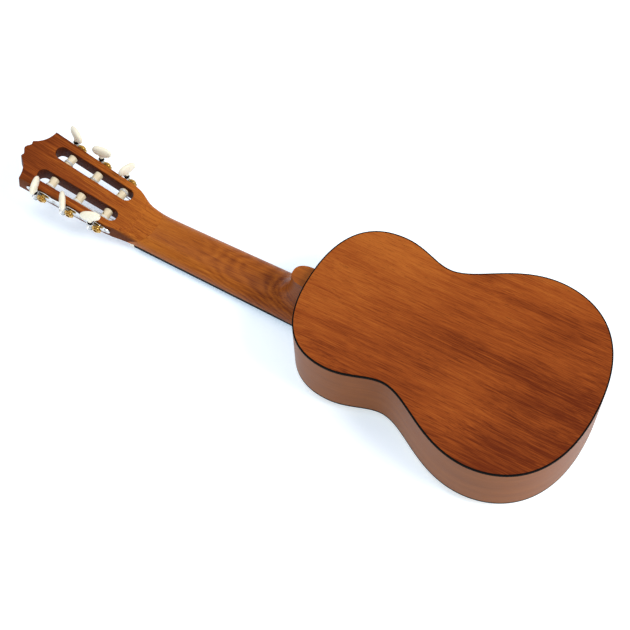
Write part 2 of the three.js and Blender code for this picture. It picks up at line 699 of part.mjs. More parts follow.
// A frame on the head's side at a roller, with +Y outward and +Z out of the head's back.
function sideFrame(head, side, row) {
  const frame = new THREE.Group();
  const d = rollerPlace(row);
  frame.position.set(-d, side * headSideAt(d), ROLLER_LEVEL);
  frame.rotation.z = side > 0 ? -HEAD_SPLAY : HEAD_SPLAY + Math.PI;
  head.add(frame);
  return frame;
}

function buildMachines() {
  const head = new THREE.Group();
  head.position.x = NUT_X;
  head.rotation.y = HEAD_TILT;
  guitar.add(head);
  for (const [name, side] of [['bass', 1], ['treble', -1]]) {
    place(`machine_plate_${name}`, machinePlate(side), chrome, sideFrame(head, side, 1));
  }
  for (const tuner of TUNERS) {
    const { string, side, row, angle } = tuner;
    const frame = sideFrame(head, side, row);
    const worm = new THREE.Group();
    worm.position.set(tipSide(side) * WORM_OFFSET, GEAR_PLANE, 0);
    frame.add(worm);
    place(`worm_shaft_${string}`, wormShaft(side), chrome, worm);
    const knob = place(`button_${string}`, button(), ivory, worm);
    knob.rotation.z = THREE.MathUtils.degToRad(angle) - frame.rotation.z;
    place(`gear_${string}`, gearWheel(), brass, frame);
    place(`roller_${string}`, roller(row), ivory, frame);
    const wire = string > 3 ? woundString : nylon;
    place(`winding_${string}`, stringWinding(tuner), wire, frame);
  }
}

// ---------------------------------------------------------------- assembly

buildBody();
buildNeck();
buildBoardAndNut();
buildBridge();
TUNERS.forEach(buildString);
buildMachines();

// The origin goes under the middle of the whole, at the level of the lowest string.
const bounds = new THREE.Box3().setFromObject(guitar);
const middle = bounds.getCenter(new THREE.Vector3());
guitar.position.set(-middle.x, -middle.y, -bounds.min.z);

export default guitar;
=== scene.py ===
import json
import math

import bmesh
import bpy
import numpy as np
from mathutils import Matrix, Vector
from mathutils.geometry import tessellate_polygon

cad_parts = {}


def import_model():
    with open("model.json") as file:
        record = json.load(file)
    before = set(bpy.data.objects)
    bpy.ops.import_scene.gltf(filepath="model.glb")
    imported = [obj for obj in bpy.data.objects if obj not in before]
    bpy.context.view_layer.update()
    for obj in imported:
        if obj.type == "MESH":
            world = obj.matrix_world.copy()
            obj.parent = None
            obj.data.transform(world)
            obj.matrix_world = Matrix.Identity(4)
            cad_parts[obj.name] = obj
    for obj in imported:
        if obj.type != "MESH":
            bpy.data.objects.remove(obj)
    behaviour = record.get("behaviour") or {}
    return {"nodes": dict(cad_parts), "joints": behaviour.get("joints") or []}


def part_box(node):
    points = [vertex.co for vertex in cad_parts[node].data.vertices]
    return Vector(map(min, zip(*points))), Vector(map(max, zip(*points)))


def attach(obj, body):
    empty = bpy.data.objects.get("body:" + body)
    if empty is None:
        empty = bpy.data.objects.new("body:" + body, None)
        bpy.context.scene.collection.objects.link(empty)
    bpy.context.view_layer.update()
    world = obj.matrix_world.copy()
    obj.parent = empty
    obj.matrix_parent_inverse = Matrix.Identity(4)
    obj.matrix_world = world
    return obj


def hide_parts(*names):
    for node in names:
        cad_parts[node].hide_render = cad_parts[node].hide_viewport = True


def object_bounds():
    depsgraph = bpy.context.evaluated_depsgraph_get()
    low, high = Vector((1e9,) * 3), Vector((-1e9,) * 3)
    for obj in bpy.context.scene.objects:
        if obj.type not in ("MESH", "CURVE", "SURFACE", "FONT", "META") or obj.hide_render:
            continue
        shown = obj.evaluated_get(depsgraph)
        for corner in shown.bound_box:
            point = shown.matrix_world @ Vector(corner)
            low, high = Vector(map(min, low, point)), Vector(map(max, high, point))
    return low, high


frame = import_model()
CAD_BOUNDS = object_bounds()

# A small guitar lying face down. Shapes are drawn in millimetres, in frames taken from the
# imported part: GUITAR on the soundboard's face under the middle of the body, HEAD on the
# tilted head at the nut, and one frame for each tuning machine.

MM = 0.001
PI = math.pi

# ---------------------------------------------------------------- frames from the part

BODY_LOW, BODY_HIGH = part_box("back_binding")
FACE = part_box("top_binding")[0].z
ORIGIN = Vector(((BODY_LOW.x + BODY_HIGH.x) / 2, (BODY_LOW.y + BODY_HIGH.y) / 2, FACE))
GUITAR = Matrix.Translation(ORIGIN) @ Matrix.Scale(MM, 4)


def extent(node):
    """Lowest and highest corner of a CAD node, in the guitar's own millimetres."""
    low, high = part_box(node)
    return (low - ORIGIN) / MM, (high - ORIGIN) / MM


JOINTS = {joint["name"]: joint for joint in frame["joints"]}
KNOB_AXIS = Vector(JOINTS["knob_turn_1"]["axis"])
TILT = math.atan2(KNOB_AXIS.x, KNOB_AXIS.z)
END = (BODY_HIGH.x - BODY_LOW.x) / 2 / MM
DEPTH = extent("back_binding")[1].z
NUT_LOW, NUT_HIGH = extent("nut")
NUT_X = NUT_HIGH.x
HEAD = GUITAR @ Matrix.Translation((NUT_X, 0, 0)) @ Matrix.Rotation(TILT, 4, "Y")

STRINGS = range(1, 7)


def side_of(string):
    return -1 if string <= 3 else 1


def axis_point(kind, string):
    return Vector(JOINTS[f"{kind}_turn_{string}"]["pos_m"])


def machine_frame(string, kind="roller"):
    """At the axis of a roller or a knob: +Y outward, +Z along the worm's shaft."""
    outward = Vector(JOINTS[f"roller_turn_{string}"]["axis"]) * side_of(string)
    place = Matrix((outward.cross(KNOB_AXIS), outward, KNOB_AXIS)).transposed().to_4x4()
    return Matrix.Translation(axis_point(kind, string)) @ place @ Matrix.Scale(MM, 4)


def roller_distance(string):
    """How far the roller's axis lies from the nut, along the head."""
    return -(HEAD.inverted() @ axis_point("roller", string)).x


def linked(name, data):
    """A new object in the scene."""
    made = bpy.data.objects.new(name, data)
    bpy.context.scene.collection.objects.link(made)
    return made


# ---------------------------------------------------------------- the camera

AZIMUTH, ELEVATION, ROLL = math.radians(33.033), math.radians(59.818), math.radians(-3.741)
DISTANCE = 1331.9
TARGET = GUITAR @ Vector((-153.21, -5.27, 0))
LENS = 70.92


def make_camera():
    back = Vector((math.sin(AZIMUTH) * math.cos(ELEVATION), -math.cos(AZIMUTH) * math.cos(ELEVATION),
                   math.sin(ELEVATION)))
    level = (-back).cross(Vector((0, 0, 1))).normalized()
    upright = level.cross(-back)
    right = level * math.cos(ROLL) + upright * math.sin(ROLL)
    up = upright * math.cos(ROLL) - level * math.sin(ROLL)
    data = bpy.data.cameras.new("camera")
    data.lens = LENS
    data.clip_start, data.clip_end = 0.05, 50
    camera = linked("camera", data)
    turn = Matrix((right, up, back)).transposed().to_4x4()
    camera.matrix_world = Matrix.Translation(TARGET + back * DISTANCE * MM) @ turn
    bpy.context.scene.camera = camera


make_camera()

# ---------------------------------------------------------------- materials


class Nodes:
    """Builds one material's nodes with short calls."""

    def __init__(self, name):
        self.material = bpy.data.materials.new(name)
        self.material.use_nodes = True
        self.tree = self.material.node_tree
        self.tree.nodes.clear()
        self.output = self.add("ShaderNodeOutputMaterial")
        self.shader = self.add("ShaderNodeBsdfPrincipled")
        self.tree.links.new(self.shader.outputs[0], self.output.inputs["Surface"])

    def add(self, kind, inputs=None, **settings):
        node = self.tree.nodes.new(kind)
        for key, value in settings.items():
            setattr(node, key, value)
        for key, value in (inputs or {}).items():
            self.feed(node.inputs[key], value)
        return node

    def feed(self, socket, value):
        if isinstance(value, bpy.types.NodeSocket):
            self.tree.links.new(value, socket)
        elif isinstance(value, bpy.types.Node):
            self.tree.links.new(value.outputs[0], socket)
        else:
            socket.default_value = value

    def set(self, **inputs):
        for key, value in inputs.items():
            self.feed(self.shader.inputs[key.replace("_", " ")], value)

    def math(self, operation, a, b=0.0, c=0.0, clamp=False):
        return self.add("ShaderNodeMath", {0: a, 1: b, 2: c}, operation=operation, use_clamp=clamp)

    def plus(self, a, b):
        return self.math("ADD", a, b)

    def times(self, a, b):
        return self.math("MULTIPLY", a, b)

    def vector(self, operation, a, b):
        return self.add("ShaderNodeVectorMath", {0: a, 1: b}, operation=operation)

    def split(self, vector):
        return self.add("ShaderNodeSeparateXYZ", {0: vector}).outputs

    def point(self, uv=False):
        """Where a surface point lies, in millimetres: on the object, or along and up a bent side."""
        source = self.add("ShaderNodeTexCoord").outputs["UV" if uv else "Object"]
        return self.vector("MULTIPLY", source, (1 / MM, 1 / MM, 1 / MM))

    def stretch(self, vector, scale, rotation=(0, 0, 0), shift=(0, 0, 0)):
        turned = self.add("ShaderNodeMapping", {"Vector": vector, "Rotation": rotation, "Location": shift})
        return self.vector("MULTIPLY", turned, scale)

    def noise(self, vector, scale=1.0, detail=3.0, roughness=0.55, distortion=0.0):
        inputs = {"Vector": vector, "Scale": scale, "Detail": detail, "Roughness": roughness,
                  "Distortion": distortion}
        return self.add("ShaderNodeTexNoise", inputs).outputs["Fac"]

    def ramp(self, factor, stops, smooth=False):
        node = self.add("ShaderNodeValToRGB", {"Fac": factor})
        ramp = node.color_ramp
        ramp.interpolation = "EASE" if smooth else "LINEAR"
        while len(ramp.elements) < len(stops):
            ramp.elements.new(0.5)
        for element, (position, colour) in zip(ramp.elements, stops):
            element.position = position
            if isinstance(colour, (int, float)):
                colour = (colour,) * 3
            element.color = (*colour, 1)
        return node.outputs["Color"]

    def mix(self, factor, a, b, kind="MIX"):
        node = self.add("ShaderNodeMix", data_type="RGBA", blend_type=kind)
        self.feed(node.inputs[0], factor)
        for index, value in ((6, a), (7, b)):
            if isinstance(value, tuple) and len(value) == 3:
                value = (*value, 1)
            self.feed(node.inputs[index], value)
        return node.outputs[2]

    def bump(self, height, distance, strength=1.0):
        inputs = {"Height": height, "Distance": distance * MM, "Strength": strength}
        self.set(Normal=self.add("ShaderNodeBump", inputs).outputs[0])


WAVY = (0.012, 0.03, 0.03)  # how fast the growth rings wander
RING_TURN = 1.3  # radians of a growth ring for each millimetre of depth
# the most painted light that a slope may add
MOST_PAINTED_LIGHT = 0.26


def wood(name, tones, uv=False, rotation=(0, 0, 0), shift=(0, 0, 0), rings=0.0, ring_axis=(0, 0, 0),
         ring_start=0.0, slope=(0, 0, 0), middle=(0, 0, 0), band=(0.005, 0.11, 0.11), broad=0.6,
         streak=0.8, dashes=0.4, blotch=0.5, gloss=0.08, roughness=0.42, painted_shade_axis=None, painted_wall_shade=0.8):
    """Mahogany-like wood. tones runs from dark to light; the grain runs along the turned X.

    slope says how much painted light is added for each millimetre away from middle, in the guitar's
    frame; where it falls below zero it is painted shade. Growth rings show from ring_start along X.
    Faces that stand along the direction painted_shade_axis get painted shade, darker by painted_wall_shade.
    """
    n = Nodes(name)
    place = n.stretch(n.point(uv), (1, 1, 1), rotation, shift)
    wander = n.noise(n.stretch(place, (0.006, 0.02, 0.02)), 1, 2)
    bent = n.vector("ADD", place, n.vector("MULTIPLY", wander, (0.0, 9.0, 9.0)))
    fine = n.noise(n.stretch(bent, (0.03, 1.2, 1.2)), 1, 4, 0.65)
    bands = n.noise(n.stretch(bent, band), 1, 3, 0.6)
    cloud = n.noise(n.stretch(place, (0.008, 0.019, 0.019)), 1, 3, 0.5)
    level = 0.5
    for part, weight in ((fine, streak), (bands, broad), (cloud, blotch)):
        level = n.plus(level, n.times(n.math("SUBTRACT", part, 0.5), weight))
    # painted light and shade: a gradient across the part, lighter on one side of middle, darker on the
    # other
    if any(slope):
        away = n.vector("SUBTRACT", n.point(), Vector(middle) + ORIGIN / MM)
        painted_light_and_shade = n.vector("DOT_PRODUCT", away, slope).outputs["Value"]
        level = n.plus(level, n.math("MINIMUM", painted_light_and_shade, MOST_PAINTED_LIGHT))
    if rings:
        depth = n.vector("DOT_PRODUCT", bent, ring_axis).outputs["Value"]
        ripple = n.noise(n.stretch(place, WAVY), 1, 2)
        phase = n.plus(n.times(ripple, 22.0), depth)
        wave = n.times(n.math("SINE", n.times(phase, RING_TURN)), rings)
        along = n.split(n.point())["X"]
        past = n.math("SUBTRACT", along, ring_start + ORIGIN.x / MM)
        wave = n.times(wave, n.math("MULTIPLY", past, 0.04, clamp=True))
        level = n.plus(level, wave)
    dark, mid, light = tones
    base = n.ramp(level, [(0.12, dark), (0.5, mid), (0.88, light)])
    pores = n.noise(n.stretch(bent, (0.085, 1.4, 1.4)), 1, 2, 0.7)
    pore = n.ramp(pores, [(0.58, 0.0), (0.69, 1.0)])
    colour = n.mix(n.times(pore, dashes), base, tuple(0.5 * c for c in dark))
    # painted shade on faces that stand along the axis, such as slot walls and the heel's flanks
    if painted_shade_axis is not None:
        normal = n.add("ShaderNodeTexCoord").outputs["Normal"]
        facing = n.vector("DOT_PRODUCT", normal, painted_shade_axis).outputs["Value"]
        painted_wall_mask = n.ramp(n.math("ABSOLUTE", facing), [(0.1, painted_wall_shade), (0.5, 0.0)])
        colour = n.mix(painted_wall_mask, colour, tuple(0.45 * c for c in dark))
    edges = n.ramp(n.add("ShaderNodeNewGeometry").outputs["Pointiness"], [(0.52, 0.0), (0.62, 0.22)])
    n.set(Base_Color=n.mix(edges, colour, light), Specular_IOR_Level=gloss)
    n.set(Roughness=n.plus(n.times(fine, 0.14), roughness - 0.07))
    n.bump(n.math("SUBTRACT", fine, n.times(pore, 0.6)), 0.05, 0.5)
    return n.material


def softwood(name, dark, mid, light):
    """Straight-grained spruce or cedar with fine growth rings across Y."""
    n = Nodes(name)
    wander = n.noise(n.stretch(n.point(), (0.004, 0.01, 0.01)), 1, 2)
    bent = n.vector("ADD", n.point(), n.vector("MULTIPLY", wander, (0.0, 5.0, 5.0)))
    rings = n.math("SINE", n.times(n.split(bent)["Y"], 4.2))
    fine = n.noise(n.stretch(bent, (0.03, 1.6, 1.6)), 1, 3, 0.6)
    level = n.math("MULTIPLY_ADD", rings, 0.17, fine)
    n.set(Base_Color=n.ramp(level, [(0.2, light), (0.5, mid), (0.78, dark)]), Specular_IOR_Level=0.35)
    n.set(Roughness=n.math("MULTIPLY_ADD", fine, 0.15, 0.32))
    n.bump(level, 0.03, 0.4)
    return n.material


def speckled(name, colour, shade, roughness, spread=0.12, scale=0.4, bump=0.03, gloss=0.4, metal=0.0,
             soft=0.0):
    """A moulded, cast or plated finish: clouded colour, uneven polish and fine bumps."""
    n = Nodes(name)
    cloud = n.noise(n.point(), scale, 4, 0.6)
    fine = n.noise(n.point(), scale * 9, 3, 0.6)
    n.set(Base_Color=n.ramp(cloud, [(0.25, shade), (0.7, colour)]))
    n.set(Roughness=n.math("MULTIPLY_ADD", n.plus(cloud, fine), spread, max(roughness - spread, 0.02)))
    n.set(Specular_IOR_Level=gloss, Metallic=metal)
    if soft:
        n.set(Subsurface_Weight=soft, Subsurface_Radius=(0.9, 0.7, 0.45), Subsurface_Scale=0.0015)
    n.bump(fine, bump, 0.35)
    return n.material


WIRE = 0.32  # width of one turn of a wound string's wire


def wound():
    """Silvered wire: the turns run across the string, by the length along its UVs."""
    n = Nodes("wound_string")
    turns = n.math("SINE", n.times(n.split(n.point(uv=True))["X"], 2 * PI / WIRE))
    stain = n.noise(n.point(), 0.3, 3)
    n.set(Base_Color=n.ramp(stain, [(0.3, (0.66, 0.655, 0.64)), (0.7, (0.86, 0.855, 0.84))]))
    n.set(Roughness=n.math("MULTIPLY_ADD", stain, 0.15, 0.3), Metallic=0.5)
    n.bump(turns, 0.06, 0.7)
    return n.material


HOLE_X = (extent("top_brace_upper")[0].x + extent("top_brace_lower")[1].x) / 2
HOLE_RADIUS = 36.0
ROSETTE = (HOLE_RADIUS + 4, HOLE_RADIUS + 12)


def rosette_inlay():
    """Generic rings of dyed wood round the soundhole, with a chequered middle band."""
    n = Nodes("rosette")
    place = n.stretch(n.point(), (1, 1, 1), shift=(-(HOLE_X + ORIGIN.x / MM), 0, 0))
    x, y = (n.split(place)[axis] for axis in "XY")
    radius = n.math("SQRT", n.plus(n.times(x, x), n.times(y, y)))
    checks = n.math("SINE", n.times(n.math("ARCTAN2", y, x), 96))
    rows = n.math("SINE", n.times(radius, 5.2))
    square = n.math("GREATER_THAN", n.times(checks, rows), 0.0)
    middle = n.mix(square, (0.045, 0.02, 0.01), (0.42, 0.25, 0.11))
    lines = n.ramp(n.math("SINE", n.times(radius, 6.28 / 1.5)),
                   [(0.45, (0.018, 0.012, 0.01)), (0.55, (0.55, 0.38, 0.2))])
    inside = n.math("COMPARE", radius, sum(ROSETTE) / 2, 2.4)
    stain = n.noise(place, 0.5, 3)
    colour = n.mix(n.times(stain, 0.3), n.mix(inside, lines, middle), (0.1, 0.05, 0.03))
    n.set(Base_Color=colour, Roughness=n.math("MULTIPLY_ADD", stain, 0.2, 0.5))
    n.bump(stain, 0.02, 0.3)
    return n.material


NECK_TONES = ((0.15, 0.028, 0.0035), (0.34, 0.087, 0.0088), (0.48, 0.148, 0.0170))
# the neck's slope paints shade that darkens it towards the heel
NECK_GRAIN = dict(rings=0.085, ring_axis=(0.2, 0.1, 0.95), ring_start=-310, slope=(-0.0028, 0, 0),
                  middle=(-262, 0, 0), band=(0.01, 0.2, 0.2), blotch=1.0, streak=1.0, dashes=0.5,
                  gloss=0.12, roughness=0.36, shift=(40, 13, 5))
# the heel is cut from the same timber; its slope and painted_shade_axis paint shade on its flanks and light
# on its cap
HEEL_GRAIN = {**NECK_GRAIN, "rings": 0.06, "slope": (-0.0016, 0, 0.006), "middle": (-285, 0, 40),
              "painted_shade_axis": (0, 0, 1), "painted_wall_shade": 0.4}

# each material with its slot
MATERIALS = {
    # the back's slope paints light and shade: lighter towards the neck and the far side
    "back": (wood("back_mahogany",
                  ((0.120, 0.018, 0.0032), (0.290, 0.061, 0.0092), (0.43, 0.118, 0.0180)),
                  slope=(-0.0012, 0.0016, 0), blotch=0.8, broad=0.5, streak=1.25, dashes=0.55,
                  gloss=0.05, roughness=0.48), "body_wood"),
    "side": (wood("side_mahogany", ((0.13, 0.034, 0.0050), (0.21, 0.061, 0.0095), (0.28, 0.090, 0.016)),
                  uv=True, blotch=0.5, broad=0.8, streak=0.5, dashes=0.2, gloss=0.09, roughness=0.38),
             "body_wood"),
    "neck": (wood("neck_mahogany", NECK_TONES, **NECK_GRAIN), "neck_wood"),
    "heel": (wood("heel_mahogany", NECK_TONES, **HEEL_GRAIN), "neck_wood"),
    # the head's slope paints a highlight at its base that fades to shade towards the tip; its axis paints
    # shade on slot walls and edges
    "head": (wood("head_mahogany",
                  ((0.115, 0.020, 0.0038), (0.25, 0.054, 0.0090), (0.46, 0.135, 0.0185)),
                  rotation=(0, -TILT, 0), slope=(0.0034, 0, 0), middle=(-458, 0, 0),
                  band=(0.007, 0.3, 0.3), broad=0.9, blotch=0.5, streak=1.1, dashes=0.55, gloss=0.035,
                  roughness=0.45, shift=(11, -7, 3), painted_shade_axis=KNOB_AXIS), "neck_wood"),
    "spruce": (softwood("spruce", (0.50, 0.29, 0.115), (0.66, 0.42, 0.19), (0.74, 0.51, 0.26)),
               "soundboard_wood"),
    "inner": (softwood("inner_wood", (0.42, 0.27, 0.13), (0.58, 0.41, 0.22), (0.66, 0.49, 0.29)),
              "inner_wood"),
    "hardwood": (wood("dark_hardwood",
                      ((0.003, 0.0022, 0.0018), (0.006, 0.0042, 0.0033), (0.015, 0.0095, 0.007)),
                      gloss=0.05, roughness=0.5), "dark_hardwood"),
    "rosette": (rosette_inlay(), "dark_hardwood"),
    "black": (speckled("black_plastic", (0.0045, 0.004, 0.0036), (0.0025, 0.0022, 0.002), 0.6,
                       bump=0.02, gloss=0.04), "black_binding"),
    "ivory": (speckled("ivory_plastic", (0.93, 0.875, 0.73), (0.86, 0.79, 0.62), 0.28, scale=0.12,
                       soft=0.12), "ivory_plastic"),
    "roller": (speckled("roller_plastic", (0.86, 0.75, 0.54), (0.77, 0.64, 0.43), 0.34, scale=0.2),
               "ivory_plastic"),
    "bone": (speckled("white_bone", (0.85, 0.82, 0.72), (0.76, 0.71, 0.59), 0.35, scale=0.25),
             "white_bone"),
    "nickel": (speckled("nickel_plate", (0.74, 0.75, 0.75), (0.56, 0.57, 0.58), 0.16, 0.08, 0.5, 0.02,
                        0.5, 1.0), "nickel_plate"),
    "brass": (speckled("brass", (0.72, 0.46, 0.13), (0.47, 0.27, 0.06), 0.27, 0.12, 0.5, 0.03, 0.5,
                       1.0), "brass"),
    "dark": (speckled("blackened_steel_and_hole_shade", (0.035, 0.03, 0.026), (0.015, 0.012, 0.01), 0.5, 0.15, 0.8,
                      0.05, 0.4, 0.6), "nickel_plate"),
    "nylon": (speckled("nylon", (0.86, 0.855, 0.82), (0.76, 0.75, 0.70), 0.22, scale=0.3),
              "nylon_string"),
    "wound": (wound(), "wound_string"),
}

# ---------------------------------------------------------------- mesh helpers


def new_object(name, shape, matrix=GUITAR):
    """A mesh object with its points moved into the row frame.

    shape holds points and faces, and may hold a UV pair for each point.
    """
    points, faces, *uvs = shape
    mesh = bpy.data.meshes.new(name)
    mesh.from_pydata([tuple(point) for point in points], [], [tuple(face) for face in faces])
    if uvs:
        layer = mesh.uv_layers.new(name="UVMap")
        for loop in mesh.loops:
            layer.data[loop.index].uv = uvs[0][loop.vertex_index]
    mesh.transform(matrix)
    work = bmesh.new()
    work.from_mesh(mesh)
    bmesh.ops.remove_doubles(work, verts=work.verts, dist=1e-7)
    bmesh.ops.recalc_face_normals(work, faces=work.faces)
    work.to_mesh(mesh)
    work.free()
    return linked(name, mesh)


def applied(piece):
    """Makes the piece's modifiers part of its mesh."""
    graph = bpy.context.evaluated_depsgraph_get()
    mesh = bpy.data.meshes.new_from_object(piece.evaluated_get(graph))
    piece.modifiers.clear()
    piece.data = mesh
    return piece


def boolean(piece, others, operation="DIFFERENCE"):
    for other in others:
        modifier = piece.modifiers.new("boolean", "BOOLEAN")
        modifier.operation = operation
        modifier.solver = "EXACT"
        modifier.object = other
    applied(piece)
    for other in others:
        bpy.data.objects.remove(other)
    return piece


def bevelled(piece, width, segments=2, angle=35):
    modifier = piece.modifiers.new("bevel", "BEVEL")
    modifier.width = width * MM
    modifier.segments = segments
    modifier.limit_method = "ANGLE"
    modifier.angle_limit = math.radians(angle)
    return applied(piece)


def finished(piece, material, body="root", nodes=(), sharp=35, flat=None):
    """Shades, paints and mounts one piece. Faces that look along flat are shaded as flat ones."""
    paint, slot = MATERIALS[material]
    for polygon in piece.data.polygons:
        polygon.use_smooth = flat is None or abs(polygon.normal.dot(flat)) < 0.9999
    piece.data.set_sharp_from_angle(angle=math.radians(sharp))
    piece.data.materials.clear()
    piece.data.materials.append(paint)
    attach(piece, body)
    if nodes:
        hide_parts(*nodes)
    return piece


def loft(rings, closed_path=False, caps=True):
    """Points and faces of a skin over closed rings of equally many points."""
    size, count = len(rings[0]), len(rings)
    faces = []
    for r in range(count if closed_path else count - 1):
        here, there = r * size, ((r + 1) % count) * size
        for i in range(size):
            j = (i + 1) % size
            faces.append((here + i, here + j, there + j, there + i))
    if caps and not closed_path:
        faces.append(tuple(range(size))[::-1])
        faces.append(tuple(range((count - 1) * size, count * size)))
    return np.concatenate(rings), faces


def turned(profile, sides=32):
    """A turned shape along +Y from (radius, y) pairs; the ends lie on the axis or are capped."""
    angles = np.linspace(0, 2 * PI, sides, endpoint=False)
    rings = [np.c_[r * np.cos(angles), np.full(sides, y), r * np.sin(angles)] for r, y in profile]
    return loft(rings)


def circle(radius, sides, cx=0.0, cy=0.0):
    angles = np.linspace(0, 2 * PI, sides, endpoint=False)
    return np.c_[cx + radius * np.cos(angles), cy + radius * np.sin(angles)]


def inset(loop, amount):
    """The loop moved to its left by amount, with its corners mitred."""
    before = loop - np.roll(loop, 1, 0)
    after = np.roll(loop, -1, 0) - loop
    before = before / np.linalg.norm(before, axis=1)[:, None]
    after = after / np.linalg.norm(after, axis=1)[:, None]
    left = np.c_[-before[:, 1], before[:, 0]], np.c_[-after[:, 1], after[:, 0]]
    spread = 1 + (left[0] * left[1]).sum(1)
    return loop + amount * (left[0] + left[1]) / np.maximum(spread, 0.5)[:, None]


def area(loop):
    x, y = loop[:, 0], loop[:, 1]
    return (x * np.roll(y, -1) - np.roll(x, -1) * y).sum() / 2


def prism(outer, low, high, holes=(), bevel=0.0, steps=3):
    """Points and faces of a plate with holes and rounded edges. Its outline lies in x and y."""
    loops = [outer if area(outer) > 0 else outer[::-1]]
    loops += [hole[::-1] if area(hole) > 0 else hole for hole in holes]
    levels = [(0, low), (0, high)]
    if bevel:
        turns = np.linspace(0, PI / 2, steps + 1)
        levels = [(bevel * (1 - math.sin(a)), low + bevel * (1 - math.cos(a))) for a in turns]
        levels += [(depth, low + high - z) for depth, z in levels[::-1]]
    rows = []
    for depth, z in levels:
        flat = np.concatenate([inset(loop, depth) if depth else loop for loop in loops])
        rows.append(np.c_[flat, np.full(len(flat), z)])
    size, top = len(rows[0]), (len(rows) - 1) * len(rows[0])
    faces, lids, start = [], [], 0
    for loop in loops:
        for row in range(0, top, size):
            for i in range(len(loop)):
                a, b = row + start + i, row + start + (i + 1) % len(loop)
                faces.append((a, b, b + size, a + size))
        lids.append([Vector(p) for p in rows[0][start:start + len(loop)]])
        start += len(loop)
    for a, b, c in tessellate_polygon(lids):
        faces += [(a, b, c), (top + a, top + b, top + c)]
    return np.concatenate(rows), faces


def rectangle(x0, x1, y0, y1):
    return np.array([(x0, y0), (x1, y0), (x1, y1), (x0, y1)])


def moved(shape, matrix):
    """The same points and faces, with the points moved by a matrix."""
    points, faces = shape
    turn = np.array(matrix)
    return np.asarray(points) @ turn[:3, :3].T + turn[:3, 3], faces


def across(shape):
    """Turns a plate drawn in x and y to stand in x and z, with its thickness along +Y."""
    return moved(shape, Matrix(((1, 0, 0, 0), (0, 0, 1, 0), (0, 1, 0, 0), (0, 0, 0, 1))))


def turned_up(profile, sides=32):
    """A turned shape like turned, but along +Z."""
    return moved(turned(profile, sides), Matrix(((1, 0, 0, 0), (0, 0, -1, 0), (0, 1, 0, 0), (0, 0, 0, 1))))


def tube(path, radius, sides=10):
    """A round tube along points, with its length along u in its UVs, in metres."""
    path = np.asarray(path, float)
    ahead = np.gradient(path, axis=0)
    ahead /= np.linalg.norm(ahead, axis=1)[:, None]
    normal = np.cross(ahead[0], (0.0, 0.3, 1.0))
    normal /= np.linalg.norm(normal)
    travelled = np.r_[0, np.cumsum(np.linalg.norm(np.diff(path, axis=0), axis=1))]
    angles = np.linspace(0, 2 * PI, sides, endpoint=False)
    rings, uvs = [], []
    for point, direction, length in zip(path, ahead, travelled):
        normal = normal - direction * normal.dot(direction)
        normal /= np.linalg.norm(normal)
        other = np.cross(direction, normal)
        rings.append(point + radius * (np.outer(np.cos(angles), normal) + np.outer(np.sin(angles), other)))
        uvs += [(length * MM, angle / (2 * PI)) for angle in angles]
    return (*loft(rings), uvs)


def bezier(points, steps):
    t = np.linspace(0, 1, steps + 1)[:, None]
    a, b, c, d = (np.array(p, float) for p in points)
    return a * (1 - t) ** 3 + 3 * b * t * (1 - t) ** 2 + 3 * c * t ** 2 * (1 - t) + d * t ** 3


def smooth_line(stations):
    """A function through (place, value) pairs with no overshoot."""
    xs, ys = (np.array(column, float) for column in zip(*stations))
    slopes = np.diff(ys) / np.diff(xs)
    at = np.zeros(len(xs))
    at[0], at[-1] = slopes[0], slopes[-1]
    for i in range(1, len(xs) - 1):
        a, b = slopes[i - 1], slopes[i]
        at[i] = 0 if a * b <= 0 else 2 * a * b / (a + b)

    def value(x):
        i = int(np.clip(np.searchsorted(xs, x) - 1, 0, len(xs) - 2))
        h = xs[i + 1] - xs[i]
        t = float(np.clip((x - xs[i]) / h, 0, 1))
        return ((2 * t ** 3 - 3 * t ** 2 + 1) * ys[i] + (t ** 3 - 2 * t ** 2 + t) * h * at[i]
                + (3 * t ** 2 - 2 * t ** 3) * ys[i + 1] + (t ** 3 - t ** 2) * h * at[i + 1])

    return value


# ---------------------------------------------------------------- body

LOWER = (71.5, 114.3)
WAIST = (-36.0, 74.2)
UPPER = (-93.5, 87.2)
OUTLINE_STEPS = 180


def half_outline():
    """The bass half from the tail to the neck, with its inward normals and lengths."""
    stretches = [
        ((END, 0), (END, 98), (LOWER[0] + 30, LOWER[1]), LOWER),
        (LOWER, (LOWER[0] - 50, LOWER[1]), (WAIST[0] + 28, WAIST[1]), WAIST),
        (WAIST, (WAIST[0] - 17, WAIST[1]), (UPPER[0] + 24, UPPER[1]), UPPER),
        (UPPER, (UPPER[0] - 62, UPPER[1]), (-END, 26), (-END, 0)),
    ]
    dense = np.concatenate([bezier(s, 300)[:-1] for s in stretches] + [np.array([(-END, 0.0)])])
    run = np.r_[0, np.cumsum(np.linalg.norm(np.diff(dense, axis=0), axis=1))]
    lengths = np.linspace(0, run[-1], OUTLINE_STEPS + 1)
    points = np.c_[np.interp(lengths, run, dense[:, 0]), np.interp(lengths, run, dense[:, 1])]
    ahead = np.gradient(points, axis=0)
    ahead[0] = ahead[-1] = 0
    ahead[0, 1], ahead[-1, 1] = 1, -1
    ahead /= np.linalg.norm(ahead, axis=1)[:, None]
    return points, np.c_[-ahead[:, 1], ahead[:, 0]], lengths


HALF, INWARD, LENGTHS = half_outline()
BINDING, BINDING_ROUNDING = 1.5, 0.4
BINDING_DEPTH = DEPTH - extent("back_binding")[0].z
PLATE_LOW = extent("back_plate")[0].z
DOME = 1.0


def full_outline(depth):
    bass = HALF + INWARD * depth
    return np.concatenate([bass, (bass * (1, -1))[::-1][1:-1]])


